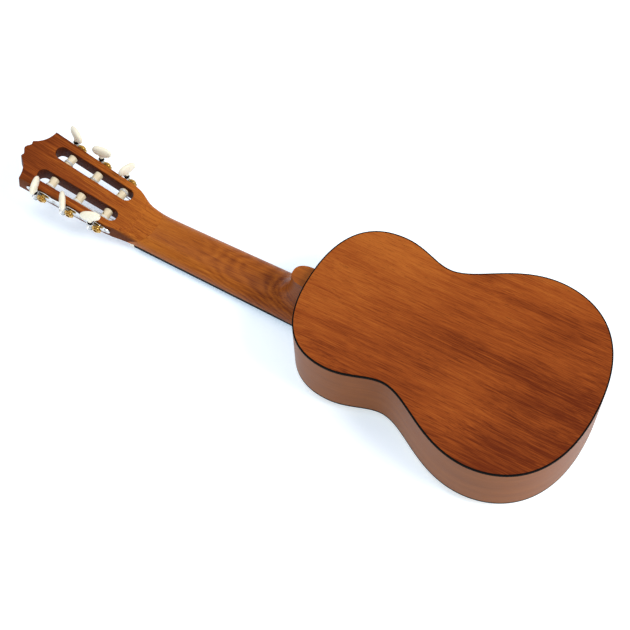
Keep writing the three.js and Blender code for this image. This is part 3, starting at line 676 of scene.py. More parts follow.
def back_panel():
    """The back's panel with a slight dome, in rows across the body."""
    columns = np.sin(np.linspace(-PI / 2, PI / 2, 49))
    rings = []
    for x, y in HALF + INWARD * BINDING:
        rise = DOME * (1 - columns ** 2) * (1 - (x / END) ** 4)
        upper = np.c_[np.full(len(columns), x), y * columns, DEPTH + rise]
        lower = upper * (1, 1, 0) + (0, 0, PLATE_LOW)
        rings.append(np.concatenate([upper, lower[::-1]]))
    piece = new_object("back_panel", loft(rings, caps=False))
    finished(piece, "back", nodes=["back_plate"], sharp=40)


def binding_ring(name, node, outer, inner):
    """A strip round the body. Its outer edge is rounded at the height outer."""
    way = BINDING_ROUNDING if outer > inner else -BINDING_ROUNDING
    profile = [(BINDING, inner), (0, inner)]
    for a in np.linspace(0, PI / 2, 5):
        profile.append((BINDING_ROUNDING * (1 - math.cos(a)), outer - way * (1 - math.sin(a))))
    profile.append((BINDING, outer))
    loops = [np.c_[full_outline(depth), np.full(2 * OUTLINE_STEPS, z)] for depth, z in profile]
    finished(new_object(name, loft(loops, closed_path=True)), "black", nodes=[node], sharp=40)


def rib(name, side):
    """One bent side, with UVs along its length and its height."""
    low, high = extent(f"side_{name}")
    thickness, seam = 2.0, 0.08
    middle = (low.z + high.z) / 2
    corners = [(0, low.z), (0, middle), (0, high.z), (thickness, high.z), (thickness, low.z)]
    rings, uvs = [], []
    for point, inward, length in zip(HALF, INWARD, LENGTHS):
        at = [(*(point + inward * depth), z) for depth, z in corners]
        rings.append(np.array([(x, max(y, seam) * side, z) for x, y, z in at]))
        uvs += [(length * MM + side, z * MM) for _, z in corners]
    piece = new_object(f"rib_{name}", (*loft(rings), uvs))
    finished(piece, "side", nodes=[f"side_{name}"], sharp=40)


def soundboard():
    board = prism(full_outline(BINDING + 0.1), 0, extent("soundboard")[1].z,
                  [circle(HOLE_RADIUS, 96, HOLE_X)], 0.25, 2)
    finished(new_object("soundboard_plate", board), "spruce", nodes=["soundboard"], sharp=14)
    inner, outer = (circle(radius, 128, HOLE_X) for radius in ROSETTE)
    ring = prism(outer, -0.12, 0.4, [inner], 0.05, 1)
    finished(new_object("rosette", ring), "rosette", sharp=14)


FAN_START, FAN_LENGTH = 6.0, 118.0
FAN_SPACING, FAN_SPREAD = 13.0, 13.0
FAN_HALF, FAN_HEIGHT = 2.2, 4.5


def fan_braces():
    """Five light braces that fan out under the soundboard behind the hole."""
    under = extent("soundboard")[1].z + 0.1
    for i in range(-2, 3):
        rings = []
        for t in np.linspace(0, 1, 15):
            shoulder = under + FAN_HEIGHT * (1 - (2 * t - 1) ** 4) + 0.5
            x, y = FAN_START + FAN_LENGTH * t, i * (FAN_SPACING + FAN_SPREAD * t)
            section = [(-1, under), (1, under), (0.75, shoulder), (0, shoulder + 0.8), (-0.75, shoulder)]
            rings.append(np.array([(x, y + FAN_HALF * part, z) for part, z in section]))
        finished(new_object(f"fan_brace_{i + 3}", loft(rings)), "inner", sharp=30)


back_panel()
binding_ring("binding_back", "back_binding", DEPTH, DEPTH - BINDING_DEPTH)
binding_ring("binding_top", "top_binding", 0, BINDING_DEPTH)
rib("bass", 1)
rib("treble", -1)
soundboard()
fan_braces()

# ---------------------------------------------------------------- neck and head

HEAD_BACK = 20.0
HEAD_FRONT = -(NUT_HIGH.x - NUT_LOW.x) * math.sin(TILT)
HEEL_TOP = extent("heel")[1].z
TIMBER = extent("neck_shaft")[1].z
SCARF = Vector((NUT_X + 18.0, 0, 16.4))
SCARF_NORMAL = Vector((math.sin(math.radians(-30)), 0, math.cos(math.radians(-30))))
BODY_ROOT = extent("heel")[1].x
JOIN = 27.0  # where the head's plate takes over from the carved neck, along the head
NECK_RAYS = 110
HEEL_LENGTH = 66  # the stretch of the neck that the heel flows into
HEAD_CORNER = (144.0, 36.0)
CREST = 161.4
SLOT_START, SLOT_END, SLOT_WIDTH = 28.9, 131.0, 15.5
SLOT_Y, SLOT_SPLAY = 15.5, 0.0244  # the slot's centre line at the first roller, and how far it leans out
FIRST_ROLLER = 42.1

# half width, squareness and depth of the section, by the distance from the nut
WIDTHS = smooth_line([(-34, 30.5), (-30, 29.75), (-24, 28.5), (-16, 26.6), (-8, 24.95), (0, 24.05),
                      (10, 24), (22, 24.2), (60, 24.8), (217, 27)])
SQUARE = smooth_line([(-27, 46), (-22, 18), (-16, 8), (-8, 4.8), (-2, 3.9), (5, 3.1), (12, 2.7), (22, 2.4),
                      (60, 2.3), (217, 2.3)])
HEIGHTS = smooth_line([(-3, 20.2), (0, 19.7), (6, 18.2), (12, 17.0), (22, 16.2), (60, 16.4), (217, 18)])
# the heel's length and half width, by the height over the soundboard's face
HEEL_REACH = smooth_line([(6, 64), (12, 58), (16, 49), (21, 39), (28, 31), (38, 25.5), (50, 22), (66, 20)])
HEEL_WIDTH = smooth_line([(6, 25), (12, 24), (16, 21.5), (21, 19), (28, 16.6), (38, 14.6), (50, 13.2),
                          (66, 12.5)])


def polar_neck(angles, half, height, power):
    total = np.abs(np.cos(angles) / half) ** power + np.abs(np.sin(angles) / height) ** power
    return total ** (-1 / power)


def polar_heel(angles, reach):
    """How far the heel's tongue goes from the face's centre line, cut at a distance from the body."""
    levels = np.linspace(0.5, 66, 132)
    power = 2.4
    left = [max(0.0, 1 - (reach / HEEL_REACH(z)) ** power) ** (1 / power) for z in levels]
    halves = np.array([HEEL_WIDTH(z) * part for z, part in zip(levels, left)])
    solid = halves > 0
    if not solid.any():
        return np.zeros(len(angles))
    top = levels[solid][-1]
    edge_angle = np.arctan2(levels[solid], halves[solid])
    edge_radius = np.hypot(levels[solid], halves[solid])
    folded = np.minimum(angles, PI - angles)
    radius = np.interp(folded, edge_angle, edge_radius)
    over = folded > edge_angle[-1]
    radius[over] = top / np.sin(folded[over])
    return radius


def smooth_max(a, b, width):
    gap = np.clip(width - np.abs(a - b), 0, None)
    return np.maximum(a, b) + gap ** 2 / (4 * width)


def even_angles(angles, radius):
    """Angles that spread the points evenly along the section, with more at its corners."""
    points = np.c_[radius * np.cos(angles), radius * np.sin(angles)]
    step = np.diff(points, axis=0)
    length = np.linalg.norm(step, axis=1)
    heading = np.unwrap(np.arctan2(step[:, 1], step[:, 0]))
    turning = np.abs(np.r_[0, np.diff(heading)])
    weight = length / length.sum() + 0.5 * turning / max(turning.sum(), 1e-6)
    run = np.r_[0, np.cumsum(weight)]
    return np.interp(np.linspace(0, run[-1], NECK_RAYS), run, angles)


def neck_ring(s):
    """The section at s from the nut towards the body. It leans with the head past the nut."""
    x = NUT_X + s
    lean = float(np.clip((-s - 2) / 20, 0, 1))
    tilt = math.tan(TILT)
    lean = lean * lean * (3 - 2 * lean) * tilt
    front = max(0.0, (-s + HEAD_FRONT / math.sin(TILT)) * tilt)
    if s < -3:
        back = (HEAD_BACK / math.cos(TILT) - s * tilt + front * tilt * lean) / (1 + tilt * lean)
        back -= float(np.interp(s, [-16, -8, -5, -3], [-0.005, 0.2, 0.4, 0.62]))
    else:
        back = HEIGHTS(s)
    dense = np.linspace(0, PI, 721)
    radius = polar_neck(dense, WIDTHS(s), back - front, SQUARE(s))
    reach = BODY_ROOT - x
    if reach < HEEL_LENGTH:
        radius = smooth_max(radius, polar_heel(dense, reach), 5.0)
    angles = even_angles(dense, radius)
    radius = np.interp(angles, dense, radius)
    y, z = radius * np.cos(angles), radius * np.sin(angles)
    return np.c_[x + z * lean, y, z + front]


def neck_stations():
    start = -JOIN * math.cos(TILT) + HEAD_FRONT * math.sin(TILT)
    head_part = np.linspace(start - 0.6, -4, 34)
    shaft = np.arange(-3, BODY_ROOT - NUT_X - HEEL_LENGTH, 2.0)
    reaches = [HEEL_REACH(z) for z in np.linspace(8, 66, 60)]
    reaches += list(np.arange(0, 20, 1.5))
    heel = sorted(BODY_ROOT - NUT_X - np.array(reaches))
    return np.r_[head_part, shaft, heel]


def split_off(piece, point, normal, name, gap=0.05):
    """Cuts the piece at a plane. What lies on the normal's side becomes a new, closed object."""
    other = linked(name, piece.data.copy())
    other.data.name = name
    for target, way in ((piece, -1), (other, 1)):
        work = bmesh.new()
        work.from_mesh(target.data)
        found = bmesh.ops.bisect_plane(
            work, geom=work.verts[:] + work.edges[:] + work.faces[:], dist=1e-7,
            plane_co=point + normal * way * gap * MM, plane_no=normal * way, clear_inner=True)
        edges = [e for e in found["geom_cut"] if isinstance(e, bmesh.types.BMEdge)]
        bmesh.ops.triangle_fill(work, use_beauty=True, use_dissolve=False, edges=edges)
        bmesh.ops.recalc_face_normals(work, faces=work.faces)
        work.to_mesh(target.data)
        work.free()
    return other


def head_outline():
    """The head's edge from the carved neck to the crest and back, in (-d, y)."""
    d, y = HEAD_CORNER
    flank = [(d, WIDTHS(-d * math.cos(TILT))) for d in np.linspace(JOIN, 33, 5)]
    straight = [(34.5, 30.43)]
    scoop = bezier((HEAD_CORNER, (d + 1, y - 7), (d + 3, y - 16), (CREST - 5, 13)), 24)
    step = [(CREST - 3.3, 11.8), (CREST - 3, 11.2), (CREST - 3.2, 9.3)]
    lobe = bezier(((CREST - 3.9, 8.2), (CREST - 3.8, 5), (CREST, 3.5), (CREST, 0)), 16)
    half = np.array([(JOIN - 3, WIDTHS(-JOIN * math.cos(TILT)) - 0.9), *flank, *straight, *scoop,
                     *step, *lobe])
    half[:, 0] *= -1
    return np.concatenate([half, (half * (1, -1))[::-1][1:]])


def slot_outline(side):
    """A slot with round ends that leans out towards the tip."""
    radius = SLOT_WIDTH / 2
    angles = np.linspace(-PI / 2, PI / 2, 15)
    caps = np.c_[radius * np.cos(angles), radius * np.sin(angles)]
    shape = np.concatenate([caps + (-(SLOT_START + radius), 0), -caps + (-(SLOT_END - radius), 0)])
    splay = math.atan(SLOT_SPLAY)
    pivot = np.array((-FIRST_ROLLER, 0.0))
    turn = np.array(((math.cos(splay), math.sin(splay)), (-math.sin(splay), math.cos(splay))))
    return ((shape - pivot) @ turn.T + pivot + (0, SLOT_Y)) * (1, side)


def ramp_cutter(side):
    """Cuts the slope in front of a slot on which its strings leave."""
    profile = np.array([(-13, HEAD_FRONT - 2), (-32, HEAD_FRONT - 2), (-32, 5.4)])
    middle, half = side * 16.1, 5.5
    return new_object("ramp_cutter", across(prism(profile, middle - half, middle + half)), HEAD)


def neck():
    """The neck is carved as one, then cut into the head's timber, the shaft and the heel."""
    carved = new_object("neck_carved", loft([neck_ring(s) for s in neck_stations()]))
    top = split_off(carved, GUITAR @ Vector((0, 0, HEEL_TOP)), Vector((0, 0, 1)), "offcut", 0)
    bpy.data.objects.remove(top)
    shaft = split_off(carved, GUITAR @ SCARF, -SCARF_NORMAL, "neck_lower")
    heel = split_off(shaft, GUITAR @ Vector((0, 0, TIMBER)), Vector((0, 0, 1)), "heel_carved")
    slots = [slot_outline(1), slot_outline(-1)]
    plate = new_object("head_carved", prism(head_outline(), HEAD_FRONT, HEAD_BACK, slots, 0.8, 3), HEAD)
    boolean(plate, [carved], "UNION")
    boolean(plate, [ramp_cutter(1), ramp_cutter(-1)])
    shaft.name = "neck_carved"
    outward = HEAD.to_3x3() @ Vector((0, 0, 1)) / MM
    finished(shaft, "neck", nodes=["neck_shaft"], sharp=30)
    finished(heel, "heel", nodes=["heel"], sharp=30)
    finished(plate, "head", nodes=["head"], sharp=22, flat=outward)


neck()

# ---------------------------------------------------------------- fingerboard, nut, bridge

SCALE_LENGTH = ((extent("saddle")[0] + extent("saddle")[1]) / 2).x - NUT_X
BOARD_END_HALF = 27.0  # half the neck's width where half the scale ends
FRETS, FRET_HALF, FRET_HEIGHT = 18, 1.05, 0.95
RADII = [0.35, 0.4, 0.5, 0.36, 0.42, 0.5]
NUT_PITCH, SADDLE_PITCH = 7.8, 11.2
TIE_HALF = 38.4


def spacing(string, pitch):
    return (string - 3.5) * pitch


def board_half(x):
    nut_half = extent("nut")[1].y
    return nut_half + (BOARD_END_HALF - nut_half) * (x - NUT_X) / (SCALE_LENGTH / 2)


def fret_ring(x, y, height, face):
    """One section of a fret: a low arch that stands on the fingerboard's face."""
    angles = np.linspace(0, PI, 9)
    return np.c_[x + FRET_HALF * np.cos(angles), np.full(9, y), face - height * np.sin(angles) + 0.02]


def fingerboard():
    low, high = extent("fingerboard")
    start, end = board_half(low.x), board_half(high.x)
    outline = np.array([(low.x, -start), (high.x, -end), (high.x, end), (low.x, start)])
    board = new_object("fingerboard_plate", prism(outline, low.z, high.z, (), 0.25, 2))
    finished(board, "hardwood", nodes=["fingerboard"], sharp=12)
    for fret in range(1, FRETS + 1):
        x = NUT_X + SCALE_LENGTH * (1 - 2 ** (-fret / 12))
        if x > high.x - 2:
            break
        half = board_half(x) - 0.1
        ends = [(half, 0.25), (half - 0.7, 0.8)]
        heights = [(-y, share) for y, share in ends]
        heights += [(y, 1) for y in np.linspace(-half + 1.2, half - 1.2, 9)] + ends[::-1]
        rings = [fret_ring(x, y, FRET_HEIGHT * share, low.z) for y, share in heights]
        finished(new_object(f"fret_{fret}", loft(rings)), "nickel", sharp=40)


def grooved_bar(name, node, pitch, dip, steps=260):
    """A bone bar with a rounded top and a groove for each string, drawn across the neck."""
    low, high = extent(node)
    middle, half = (low.x + high.x) / 2, (high.x - low.x) / 2
    rings = []
    for y in np.linspace(low.y, high.y, steps):
        drop = 0.0
        for string in STRINGS:
            away = abs(y - spacing(string, pitch))
            drop = max(drop, math.sqrt(max(0.0, RADII[string - 1] ** 2 - away ** 2)) * dip)
        round_end = 0.6 * max(0.0, 1 - (high.y - abs(y)) / 0.8) ** 2
        crown = [(half * math.cos(a), low.z + 0.9 * (1 - math.sin(a)) + drop + round_end)
                 for a in np.linspace(0, PI, 9)]
        ring = [(half, high.z), *crown, (-half, high.z)]
        rings.append(np.array([(middle + x, y, z) for x, z in ring]))
    finished(new_object(name, loft(rings)), "bone", nodes=[node], sharp=40)


def bridge():
    """The rosewood bridge follows its CAD solid, with its arrises taken off."""
    piece = linked("bridge_plate", frame["nodes"]["bridge"].data.copy())
    work = bmesh.new()
    work.from_mesh(piece.data)
    bmesh.ops.remove_doubles(work, verts=work.verts, dist=1e-6)
    bmesh.ops.dissolve_limit(work, angle_limit=math.radians(2), verts=work.verts, edges=work.edges)
    work.to_mesh(piece.data)
    work.free()
    bevelled(piece, 0.35, 2, 40)
    finished(piece, "hardwood", nodes=["bridge"], sharp=20)
    high = extent("bridge")[1].x
    low = extent("bridge")[0].z
    for name, x in (("tie_strip_front", high - 7.6), ("tie_strip_back", high - 2.2)):
        strip = prism(rectangle(x - 0.8, x + 0.8, -TIE_HALF, TIE_HALF), low - 0.15, low + 0.6, (), 0.12, 2)
        finished(new_object(name, strip), "bone", sharp=12)


fingerboard()
grooved_bar("nut_bar", "nut", NUT_PITCH, 0.9)
grooved_bar("saddle_bar", "saddle", SADDLE_PITCH, 0.2)
bridge()

# ---------------------------------------------------------------- tuning machines

TURNED = [28, -55, -75, -25, 14, 68]  # how far each button stands turned, in degrees
WINDINGS = [19.8, 20.6, 21.4, 14.6, 12.6, 19.8]  # each winding's distance from the centre line
WINDING_WIDTH = 3.0
ROW = 35.0  # from one roller to the next
ROLLER_LEVEL = 10.0  # the rollers' axes over the head's front
ROLLER_RADIUS, ROLLER_RIM, AXLE_RADIUS = 4.95, 5.1, 3.0
SLEEVE = 7.15  # half a roller's length
GEAR_RADIUS, WORM_RADIUS, TEETH = 5.25, 2.95, 14
WORM_AWAY = GEAR_RADIUS + WORM_RADIUS
PITCH = 2 * PI * GEAR_RADIUS / TEETH
DIP, RISE = 0.8, 0.55  # how far teeth and threads go in and out from the pitch line
GEAR_PLANE, GEAR_HALF = 4.9, 1.25
PLATE_FACE = 1.3
PLATE_NUT_END, PLATE_TIP_END, PLATE_HALF = -50, 57, 6.5
WAISTS = (4 - ROW / 2, 4 + ROW / 2)  # where the plate is drawn in and screwed on
UPPER_EAR, LOWER_EAR = 5.1, -6.5
PLATE_SCREW, GEAR_SCREW = 2.6, 2.0
GEAR_SCREW_FACE = 3.2
BUTTON_WIDTH, BUTTON_HEIGHT, BUTTON_THICKNESS, BUTTON_LEVEL = 22.5, 17.0, 7.2, 22.5


def rounded(corners, radius, steps=6):
    """A closed outline with each of its corners rounded."""
    corners = np.asarray(corners, float)
    result = []
    for i, corner in enumerate(corners):
        before, after = corners[i - 1], corners[(i + 1) % len(corners)]
        start = corner + radius * (before - corner) / np.linalg.norm(before - corner)
        finish = corner + radius * (after - corner) / np.linalg.norm(after - corner)
        for t in np.linspace(0, 1, steps + 1):
            result.append(start * (1 - t) ** 2 + 2 * corner * t * (1 - t) + finish * t ** 2)
    return np.array(result)


def plate_outline(tip):
    """The long plate: lobed at both ends and drawn in between the machines."""
    end, lobe, neck = 9, 4.9, 1.9
    upper = []
    for x in np.linspace(PLATE_NUT_END, PLATE_TIP_END, 108):
        left = min(PLATE_TIP_END - x, x - PLATE_NUT_END)
        half = PLATE_HALF if left > 14 else PLATE_HALF - neck * math.exp(-((left - 12.0) / 2.6) ** 2)
        if left < end:
            half = lobe * math.sqrt(max(0.0, 1 - ((end - left) / end) ** 2)) + 0.02
        for waist in WAISTS:
            half -= 1.5 * math.exp(-((x - waist) / 5.5) ** 2)
        upper.append((x * tip, half))
    upper = np.array(upper)
    return np.concatenate([upper, (upper * (1, -1))[::-1]])


def screw(name, matrix, x, z, y, radius):
    """A domed screw head with a cross cut, drawn on a face at y."""
    rim = 0.15
    profile = [(0.0, -0.5), (radius, -0.5), (radius, rim)]
    for a in np.linspace(0.15, PI / 2 - 0.12, 6):
        profile.append((radius * math.cos(a), rim + 0.95 * math.sin(a)))
    profile.append((0.0, 1.1))
    place = Matrix.Translation((x, y, z))
    piece = new_object(name, moved(turned(profile, 28), place), matrix)
    half, width = radius * 0.7, 0.32
    slit = across(prism(rectangle(-half, half, -width, width), 0.45, 3))
    cuts = []
    for turn in (0.4, 0.4 + PI / 2):
        cuts.append(new_object("cut", moved(slit, place @ Matrix.Rotation(turn, 4, "Y")), matrix))
    return boolean(piece, cuts)


def ear(x, z):
    """A tongue folded out of the plate, which holds one end of a worm."""
    outline = rounded([(-3.6, 0.4), (3.6, 0.4), (3.3, 7.9), (-3.3, 7.9)], 2.4, 8)
    return moved(prism(outline, 0, 1.4, (), 0.25, 2), Matrix.Translation((x, 0, z)))


def plate(name, side):
    """Drawn at the middle roller, with the tip of the head on the side of tip."""
    matrix = machine_frame(2 if side < 0 else 5)
    tip = -side
    sheet = across(prism(plate_outline(tip), 0.1, PLATE_FACE, (), 0.3, 2))
    piece = new_object(f"plate_{name}", sheet, matrix)
    worms = [row * ROW + tip * WORM_AWAY for row in (-1, 0, 1)]
    boolean(piece, [new_object("ear", ear(x, z), matrix) for x in worms for z in (UPPER_EAR, LOWER_EAR)],
            "UNION")
    finished(piece, "nickel", nodes=[f"machine_plate_{name}"], sharp=25)
    places = [(52.0, 0), (WAISTS[1], -0.3), (WAISTS[0], -0.3), (-45.0, 0)]
    for i, (x, z) in enumerate(places):
        head = screw(f"plate_screw_{name}_{i + 1}", matrix, tip * x, z, PLATE_FACE, PLATE_SCREW)
        finished(head, "nickel")


def gear(string):
    """A brass wheel with its hub, and the screw that holds it, sunk in the hub."""
    matrix, body = machine_frame(string), f"roller_{string}"
    root, tip = GEAR_RADIUS - DIP, GEAR_RADIUS + RISE
    width = 0.34 * PITCH
    flank = [(r, (width / 2 + (GEAR_RADIUS - r) * 0.4) / r) for r in (root, (root + tip) / 2, tip)]
    outline = []
    for tooth in range(TEETH):
        middle = 2 * PI * (tooth + 0.5) / TEETH
        pairs = [(r, middle - a) for r, a in flank] + [(r, middle + a) for r, a in flank[::-1]]
        outline += [(r * math.cos(a), r * math.sin(a)) for r, a in pairs]
    wheel = prism(np.array(outline), GEAR_PLANE - GEAR_HALF, GEAR_PLANE + GEAR_HALF, (), 0.15, 2)
    piece = new_object(f"gear_wheel_{string}", across(wheel), matrix)
    hub = [(0, 1.6), (3.0, 1.6), (3.0, GEAR_PLANE), (3.35, GEAR_PLANE + 0.6), (3.35, 7.3), (3.05, 7.75),
           (0, 7.75)]
    bore = [(0, 2.9), (2.15, 2.9), (2.15, 7.2), (2.5, 9), (0, 9)]
    boolean(piece, [new_object("hub", turned(hub, 40), matrix)], "UNION")
    boolean(piece, [new_object("bore", turned(bore, 32), matrix)])
    finished(piece, "brass", body, [f"gear_{string}"], 30)
    # the screw is blackened steel; its dark also stands as painted shade in the hub's hole
    finished(screw(f"gear_screw_{string}", matrix, 0, 0, GEAR_SCREW_FACE, GEAR_SCREW), "dark", body)


def thread(side):
    """The worm's ridge: one right-handed thread whose middle faces the gear."""
    core, crest = WORM_RADIUS - DIP, WORM_RADIUS + RISE
    turns, steps = 6.2 / PITCH, 72
    rings = []
    for i in range(steps + 1):
        t = i / steps
        turn = 2 * PI * turns * (t - 0.5)
        top = core + (crest - core) * min(1.0, 8 * min(t, 1 - t) + 0.15)
        rise = PITCH * turn / (2 * PI)
        angle = turn + (0 if side > 0 else PI)
        foot, edge = (0.17 * PITCH + (WORM_RADIUS - r) * 0.4 for r in (core - 0.2, top))
        section = [(core - 0.3, -foot), (top, -edge), (top, edge), (core - 0.3, foot)]
        rings.append(np.array([(r * math.cos(angle), r * math.sin(angle), rise + h) for r, h in section]))
    return loft(rings)


def worm(string):
    """The worm, its shaft with a riveted lower end, and a black ring under the button that paints the shade
    of the gap there.
    """
    matrix, body = machine_frame(string, "knob"), f"knob_{string}"
    core = WORM_RADIUS - DIP
    rod = [(0, -8.6), (0.9, -8.55), (1.7, -8.3), (2.25, -7.7), (2.4, -7.0), (2.4, -6.8), (1.5, -6.75),
           (1.5, 9.4), (1.7, 9.6), (1.7, 17.6), (0, 17.6)]
    sleeve = [(1.4, -4.8), (core - 0.3, -4.8), (core, -4.5), (core, 4.5), (core - 0.3, 4.8), (1.4, 4.8)]
    ring = [(1.4, 6.8), (2.75, 6.85), (3.0, 7.1), (3.0, 8.0), (2.6, 8.5), (2.0, 8.9), (1.4, 9.0)]
    shaft = new_object(f"worm_shaft_rod_{string}", turned_up(rod), matrix)
    finished(shaft, "nickel", body, [f"worm_shaft_{string}"], 32)
    piece = new_object(f"worm_{string}", turned_up(sleeve), matrix)
    boolean(piece, [new_object("thread", thread(side_of(string)), matrix)], "UNION")
    finished(piece, "nickel", body, (), 32)
    # black ring: painted shade for the gap under the button
    finished(new_object(f"shade_ring_{string}", turned_up(ring), matrix), "black", body, (), 32)


def button(string):
    """An oval button, thick in the middle with a soft rim, on a short collar."""
    power, least = 2.25, 0.02
    angles = np.linspace(0, 2 * PI, 56, endpoint=False)
    c, s = np.cos(angles), np.sin(angles)
    wide = BUTTON_WIDTH / 2 * np.sign(c) * np.abs(c) ** (2 / power)
    high = BUTTON_HEIGHT / 2 * np.sign(s) * np.abs(s) ** (2 / power)
    rings = []
    for t in np.linspace(-1, 1, 25):
        bulge = math.sin(t * PI / 2)
        scale = max(max(1 - abs(bulge) ** 2.6, 0.0) ** (1 / 2.1), least)
        depth = np.full(len(angles), BUTTON_THICKNESS / 2 * bulge)
        rings.append(np.c_[wide * scale, depth, BUTTON_LEVEL + high * scale])
    stem = [(0, 11.4), (2.5, 11.4), (2.9, 11.9), (2.9, 12.6), (2.3, 13.6), (2.4, 14.6), (3.2, 16.2),
            (2.0, 18.5), (0, 18.5)]
    matrix = machine_frame(string, "knob")
    along_head = matrix.to_3x3().normalized().inverted() @ HEAD.to_3x3().normalized() @ Vector((1, 0, 0))
    angle = math.radians(TURNED[string - 1]) + math.atan2(along_head.y, along_head.x)
    turn = Matrix.Rotation(angle, 4, "Z")
    piece = new_object(f"knob_oval_{string}", moved(loft(rings), turn), matrix)
    boolean(piece, [new_object("stem", moved(turned_up(stem), turn), matrix)], "UNION")
    finished(piece, "ivory", f"knob_{string}", [f"button_{string}"], 50)


def place_on_roller(string, y):
    """The machine's +Y at the roller, for a distance y from the head's centre line."""
    to_machine = machine_frame(string).inverted() @ HEAD
    return (to_machine @ Vector((-roller_distance(string), side_of(string) * y, ROLLER_LEVEL))).y


def roller(string):
    """The sleeve turns in the slot on its axle; a small hole takes the string's end."""
    matrix, body = machine_frame(string), f"roller_{string}"
    side = side_of(string)
    middle = place_on_roller(string, SLOT_Y + SLOT_SPLAY * (roller_distance(string) - FIRST_ROLLER))
    inner, outer = middle - SLEEVE, middle + SLEEVE
    rim = [(AXLE_RADIUS, 0), (4.5, 0), (ROLLER_RADIUS, 0.35), (ROLLER_RIM, 0.8), (5.08, 1.4), (4.9, 1.7)]
    profile = [(0, inner - 3.6), (2.7, inner - 3.6), (AXLE_RADIUS, inner - 3.3)]
    profile += [(r, inner + y) for r, y in rim] + [(r, outer - y) for r, y in rim[::-1]]
    profile += [(AXLE_RADIUS, PLATE_FACE), (1.6, PLATE_FACE), (1.6, 2.7), (0, 2.7)]
    piece = new_object(f"sleeve_{string}", turned(profile, 48), matrix)
    lean = Matrix.Rotation(math.radians(-38 * side), 4, "Y")
    place = Matrix.Translation((0, inner + (5.0 if side > 0 else 8.0), 0)) @ lean
    bore = [(0, -8), (1.15, -8), (1.15, 8), (0, 8)]
    boolean(piece, [new_object("bore", moved(turned_up(bore, 20), place), matrix)])
    finished(piece, "roller", body, [f"roller_{string}"])
    # a dark plug sunk in the hole: painted shade for the inside of the hole
    end = [(0, -3.6), (1.1, -3.6), (1.1, 3.6), (0, 3.6)]
    plug = new_object(f"hole_shade_plug_{string}", moved(turned_up(end, 20), place), matrix)
    finished(plug, "dark", body)


def string_piece(name, string, path, matrix, body, node, sharp):
    piece = new_object(name, tube(path, RADII[string - 1]), matrix)
    finished(piece, "wound" if string > 3 else "nylon", body, [node], sharp)


def turns_on_roller(string):
    """The string's turns, laid side by side."""
    centre = place_on_roller(string, WINDINGS[string - 1])
    radius = RADII[string - 1]
    step = 2 * radius + 0.06
    count = WINDING_WIDTH / step
    angles = np.linspace(0, 2 * PI * count, int(count * 28))
    reach, first = ROLLER_RADIUS + radius, -PI / 2
    y = centre - WINDING_WIDTH / 2 + radius + step * angles / (2 * PI) * (1 - 2 * radius / WINDING_WIDTH)
    path = np.c_[reach * np.cos(first + angles), y, reach * np.sin(first + angles)]
    string_piece(f"string_turns_{string}", string, path, machine_frame(string), f"roller_{string}",
                 f"winding_{string}", 40)


def string_line(string):
    """From the roller over the nut and saddle to its knot on the tie block."""
    radius, air = RADII[string - 1], 0.12
    nut_y, saddle_y = spacing(string, NUT_PITCH), spacing(string, SADDLE_PITCH)
    nut_z = NUT_LOW.z - air - radius
    saddle_low, saddle_high = extent("saddle")
    saddle_x, saddle_z = (saddle_low.x + saddle_high.x) / 2, saddle_low.z - air - radius
    start = Vector((0.5 - roller_distance(string), side_of(string) * WINDINGS[string - 1],
                    ROLLER_LEVEL - ROLLER_RADIUS - radius))
    bridge_low, bridge_high = extent("bridge")
    end, tie = bridge_high.x, -6.0
    line = [GUITAR.inverted() @ HEAD @ start, (NUT_LOW.x - 0.4, nut_y, nut_z + 0.1),
            (NUT_LOW.x + 1.2, nut_y, nut_z), (NUT_X, nut_y, nut_z),
            (saddle_x - 0.8, saddle_y, saddle_z), (saddle_x + 0.8, saddle_y, saddle_z),
            (end - 8.9, saddle_y, tie), (end + 0.8, saddle_y, tie)]
    # the end comes back over the tie block and is tucked under itself
    low = bridge_low.z - radius - 0.1
    line += [(end + 1.3, saddle_y + 0.3, -8.0), (end - 0.5, saddle_y + 1.0, low),
             (end - 5.5, saddle_y + 1.9, low), (end - 9.2, saddle_y + 1.4, low + 0.9)]
    line = np.array([tuple(point) for point in line], float)
    path = [line[0]]
    for a, b in zip(line[:-1], line[1:]):
        count = max(2, int(np.linalg.norm(b - a) / 40) + 2)
        path += [a + (b - a) * t for t in np.linspace(0, 1, count + 1)[1:]]
    string_piece(f"string_line_{string}", string, path, GUITAR, "root", f"string_{string}", 60)


plate("bass", 1)
plate("treble", -1)
for number in STRINGS:
    for build in (gear, worm, button, roller, turns_on_roller, string_line):
        build(number)

# ---------------------------------------------------------------- CAD pieces that stay

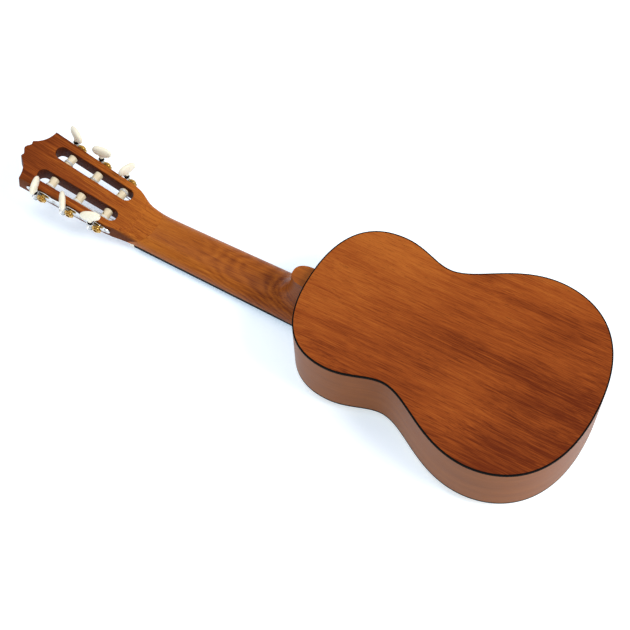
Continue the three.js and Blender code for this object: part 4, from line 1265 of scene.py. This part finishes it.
for node in ("top_lining_bass", "top_lining_treble", "back_lining_bass", "back_lining_treble", "neck_block",
             "tail_block", "top_brace_upper", "top_brace_lower", "back_brace"):
    kept = frame["nodes"][node]
    kept.data.materials.clear()
    kept.data.materials.append(MATERIALS["inner"][0])

# ---------------------------------------------------------------- floor and light

SKY = 0.62
KEY_POWER, FILL_POWER = 38.44, 16.12
FLOOR_HALF = 6000.0
FLOOR_GAP = 0.0004  # metres between the floor and what the guitar lies on


def floor():
    """Pale paper that glows a little, so that its shadows stay light."""
    n = Nodes("paper_floor")
    cloud = n.noise(n.point(), 0.004, 2)
    n.set(Base_Color=n.ramp(cloud, [(0.3, (0.93, 0.935, 0.94)), (0.7, (0.945, 0.948, 0.952))]))
    n.set(Roughness=0.9, Specular_IOR_Level=0.1)
    n.set(Emission_Color=(0.58, 0.79, 1.0, 1), Emission_Strength=0.49)
    corners = rectangle(-FLOOR_HALF, FLOOR_HALF, -FLOOR_HALF, FLOOR_HALF)
    low = Vector((0, 0, CAD_BOUNDS[0].z - FLOOR_GAP))
    sheet = new_object("floor", (np.c_[corners, np.zeros(4)], [(0, 1, 2, 3)]),
                       Matrix.Translation(low) @ Matrix.Scale(MM, 4))
    sheet.data.materials.append(n.material)


def world():
    made = bpy.data.worlds.new("studio")
    made.use_nodes = True
    background = made.node_tree.nodes["Background"]
    background.inputs["Color"].default_value = (0.97, 0.985, 1.0, 1)
    background.inputs["Strength"].default_value = SKY
    bpy.context.scene.world = made


def area_light(name, place, size, power, colour):
    """A round lamp that looks at the middle of the part."""
    data = bpy.data.lights.new(name, "AREA")
    data.shape = "DISK"
    data.size = size
    data.energy = power
    data.color = colour
    lamp = linked(name, data)
    lamp.location = place
    lamp.rotation_mode = "QUATERNION"
    lamp.rotation_quaternion = (-Vector(place)).to_track_quat("-Z", "Y")


floor()
world()
area_light("key", (2.0, 0.1, 1.9), 1.1, KEY_POWER, (1, 0.985, 0.96))
area_light("fill", (-0.6, 0.1, 2.6), 2.2, FILL_POWER, (0.97, 0.985, 1))

scene = bpy.context.scene
scene.view_settings.view_transform = "Standard"
scene.view_settings.look = "None"
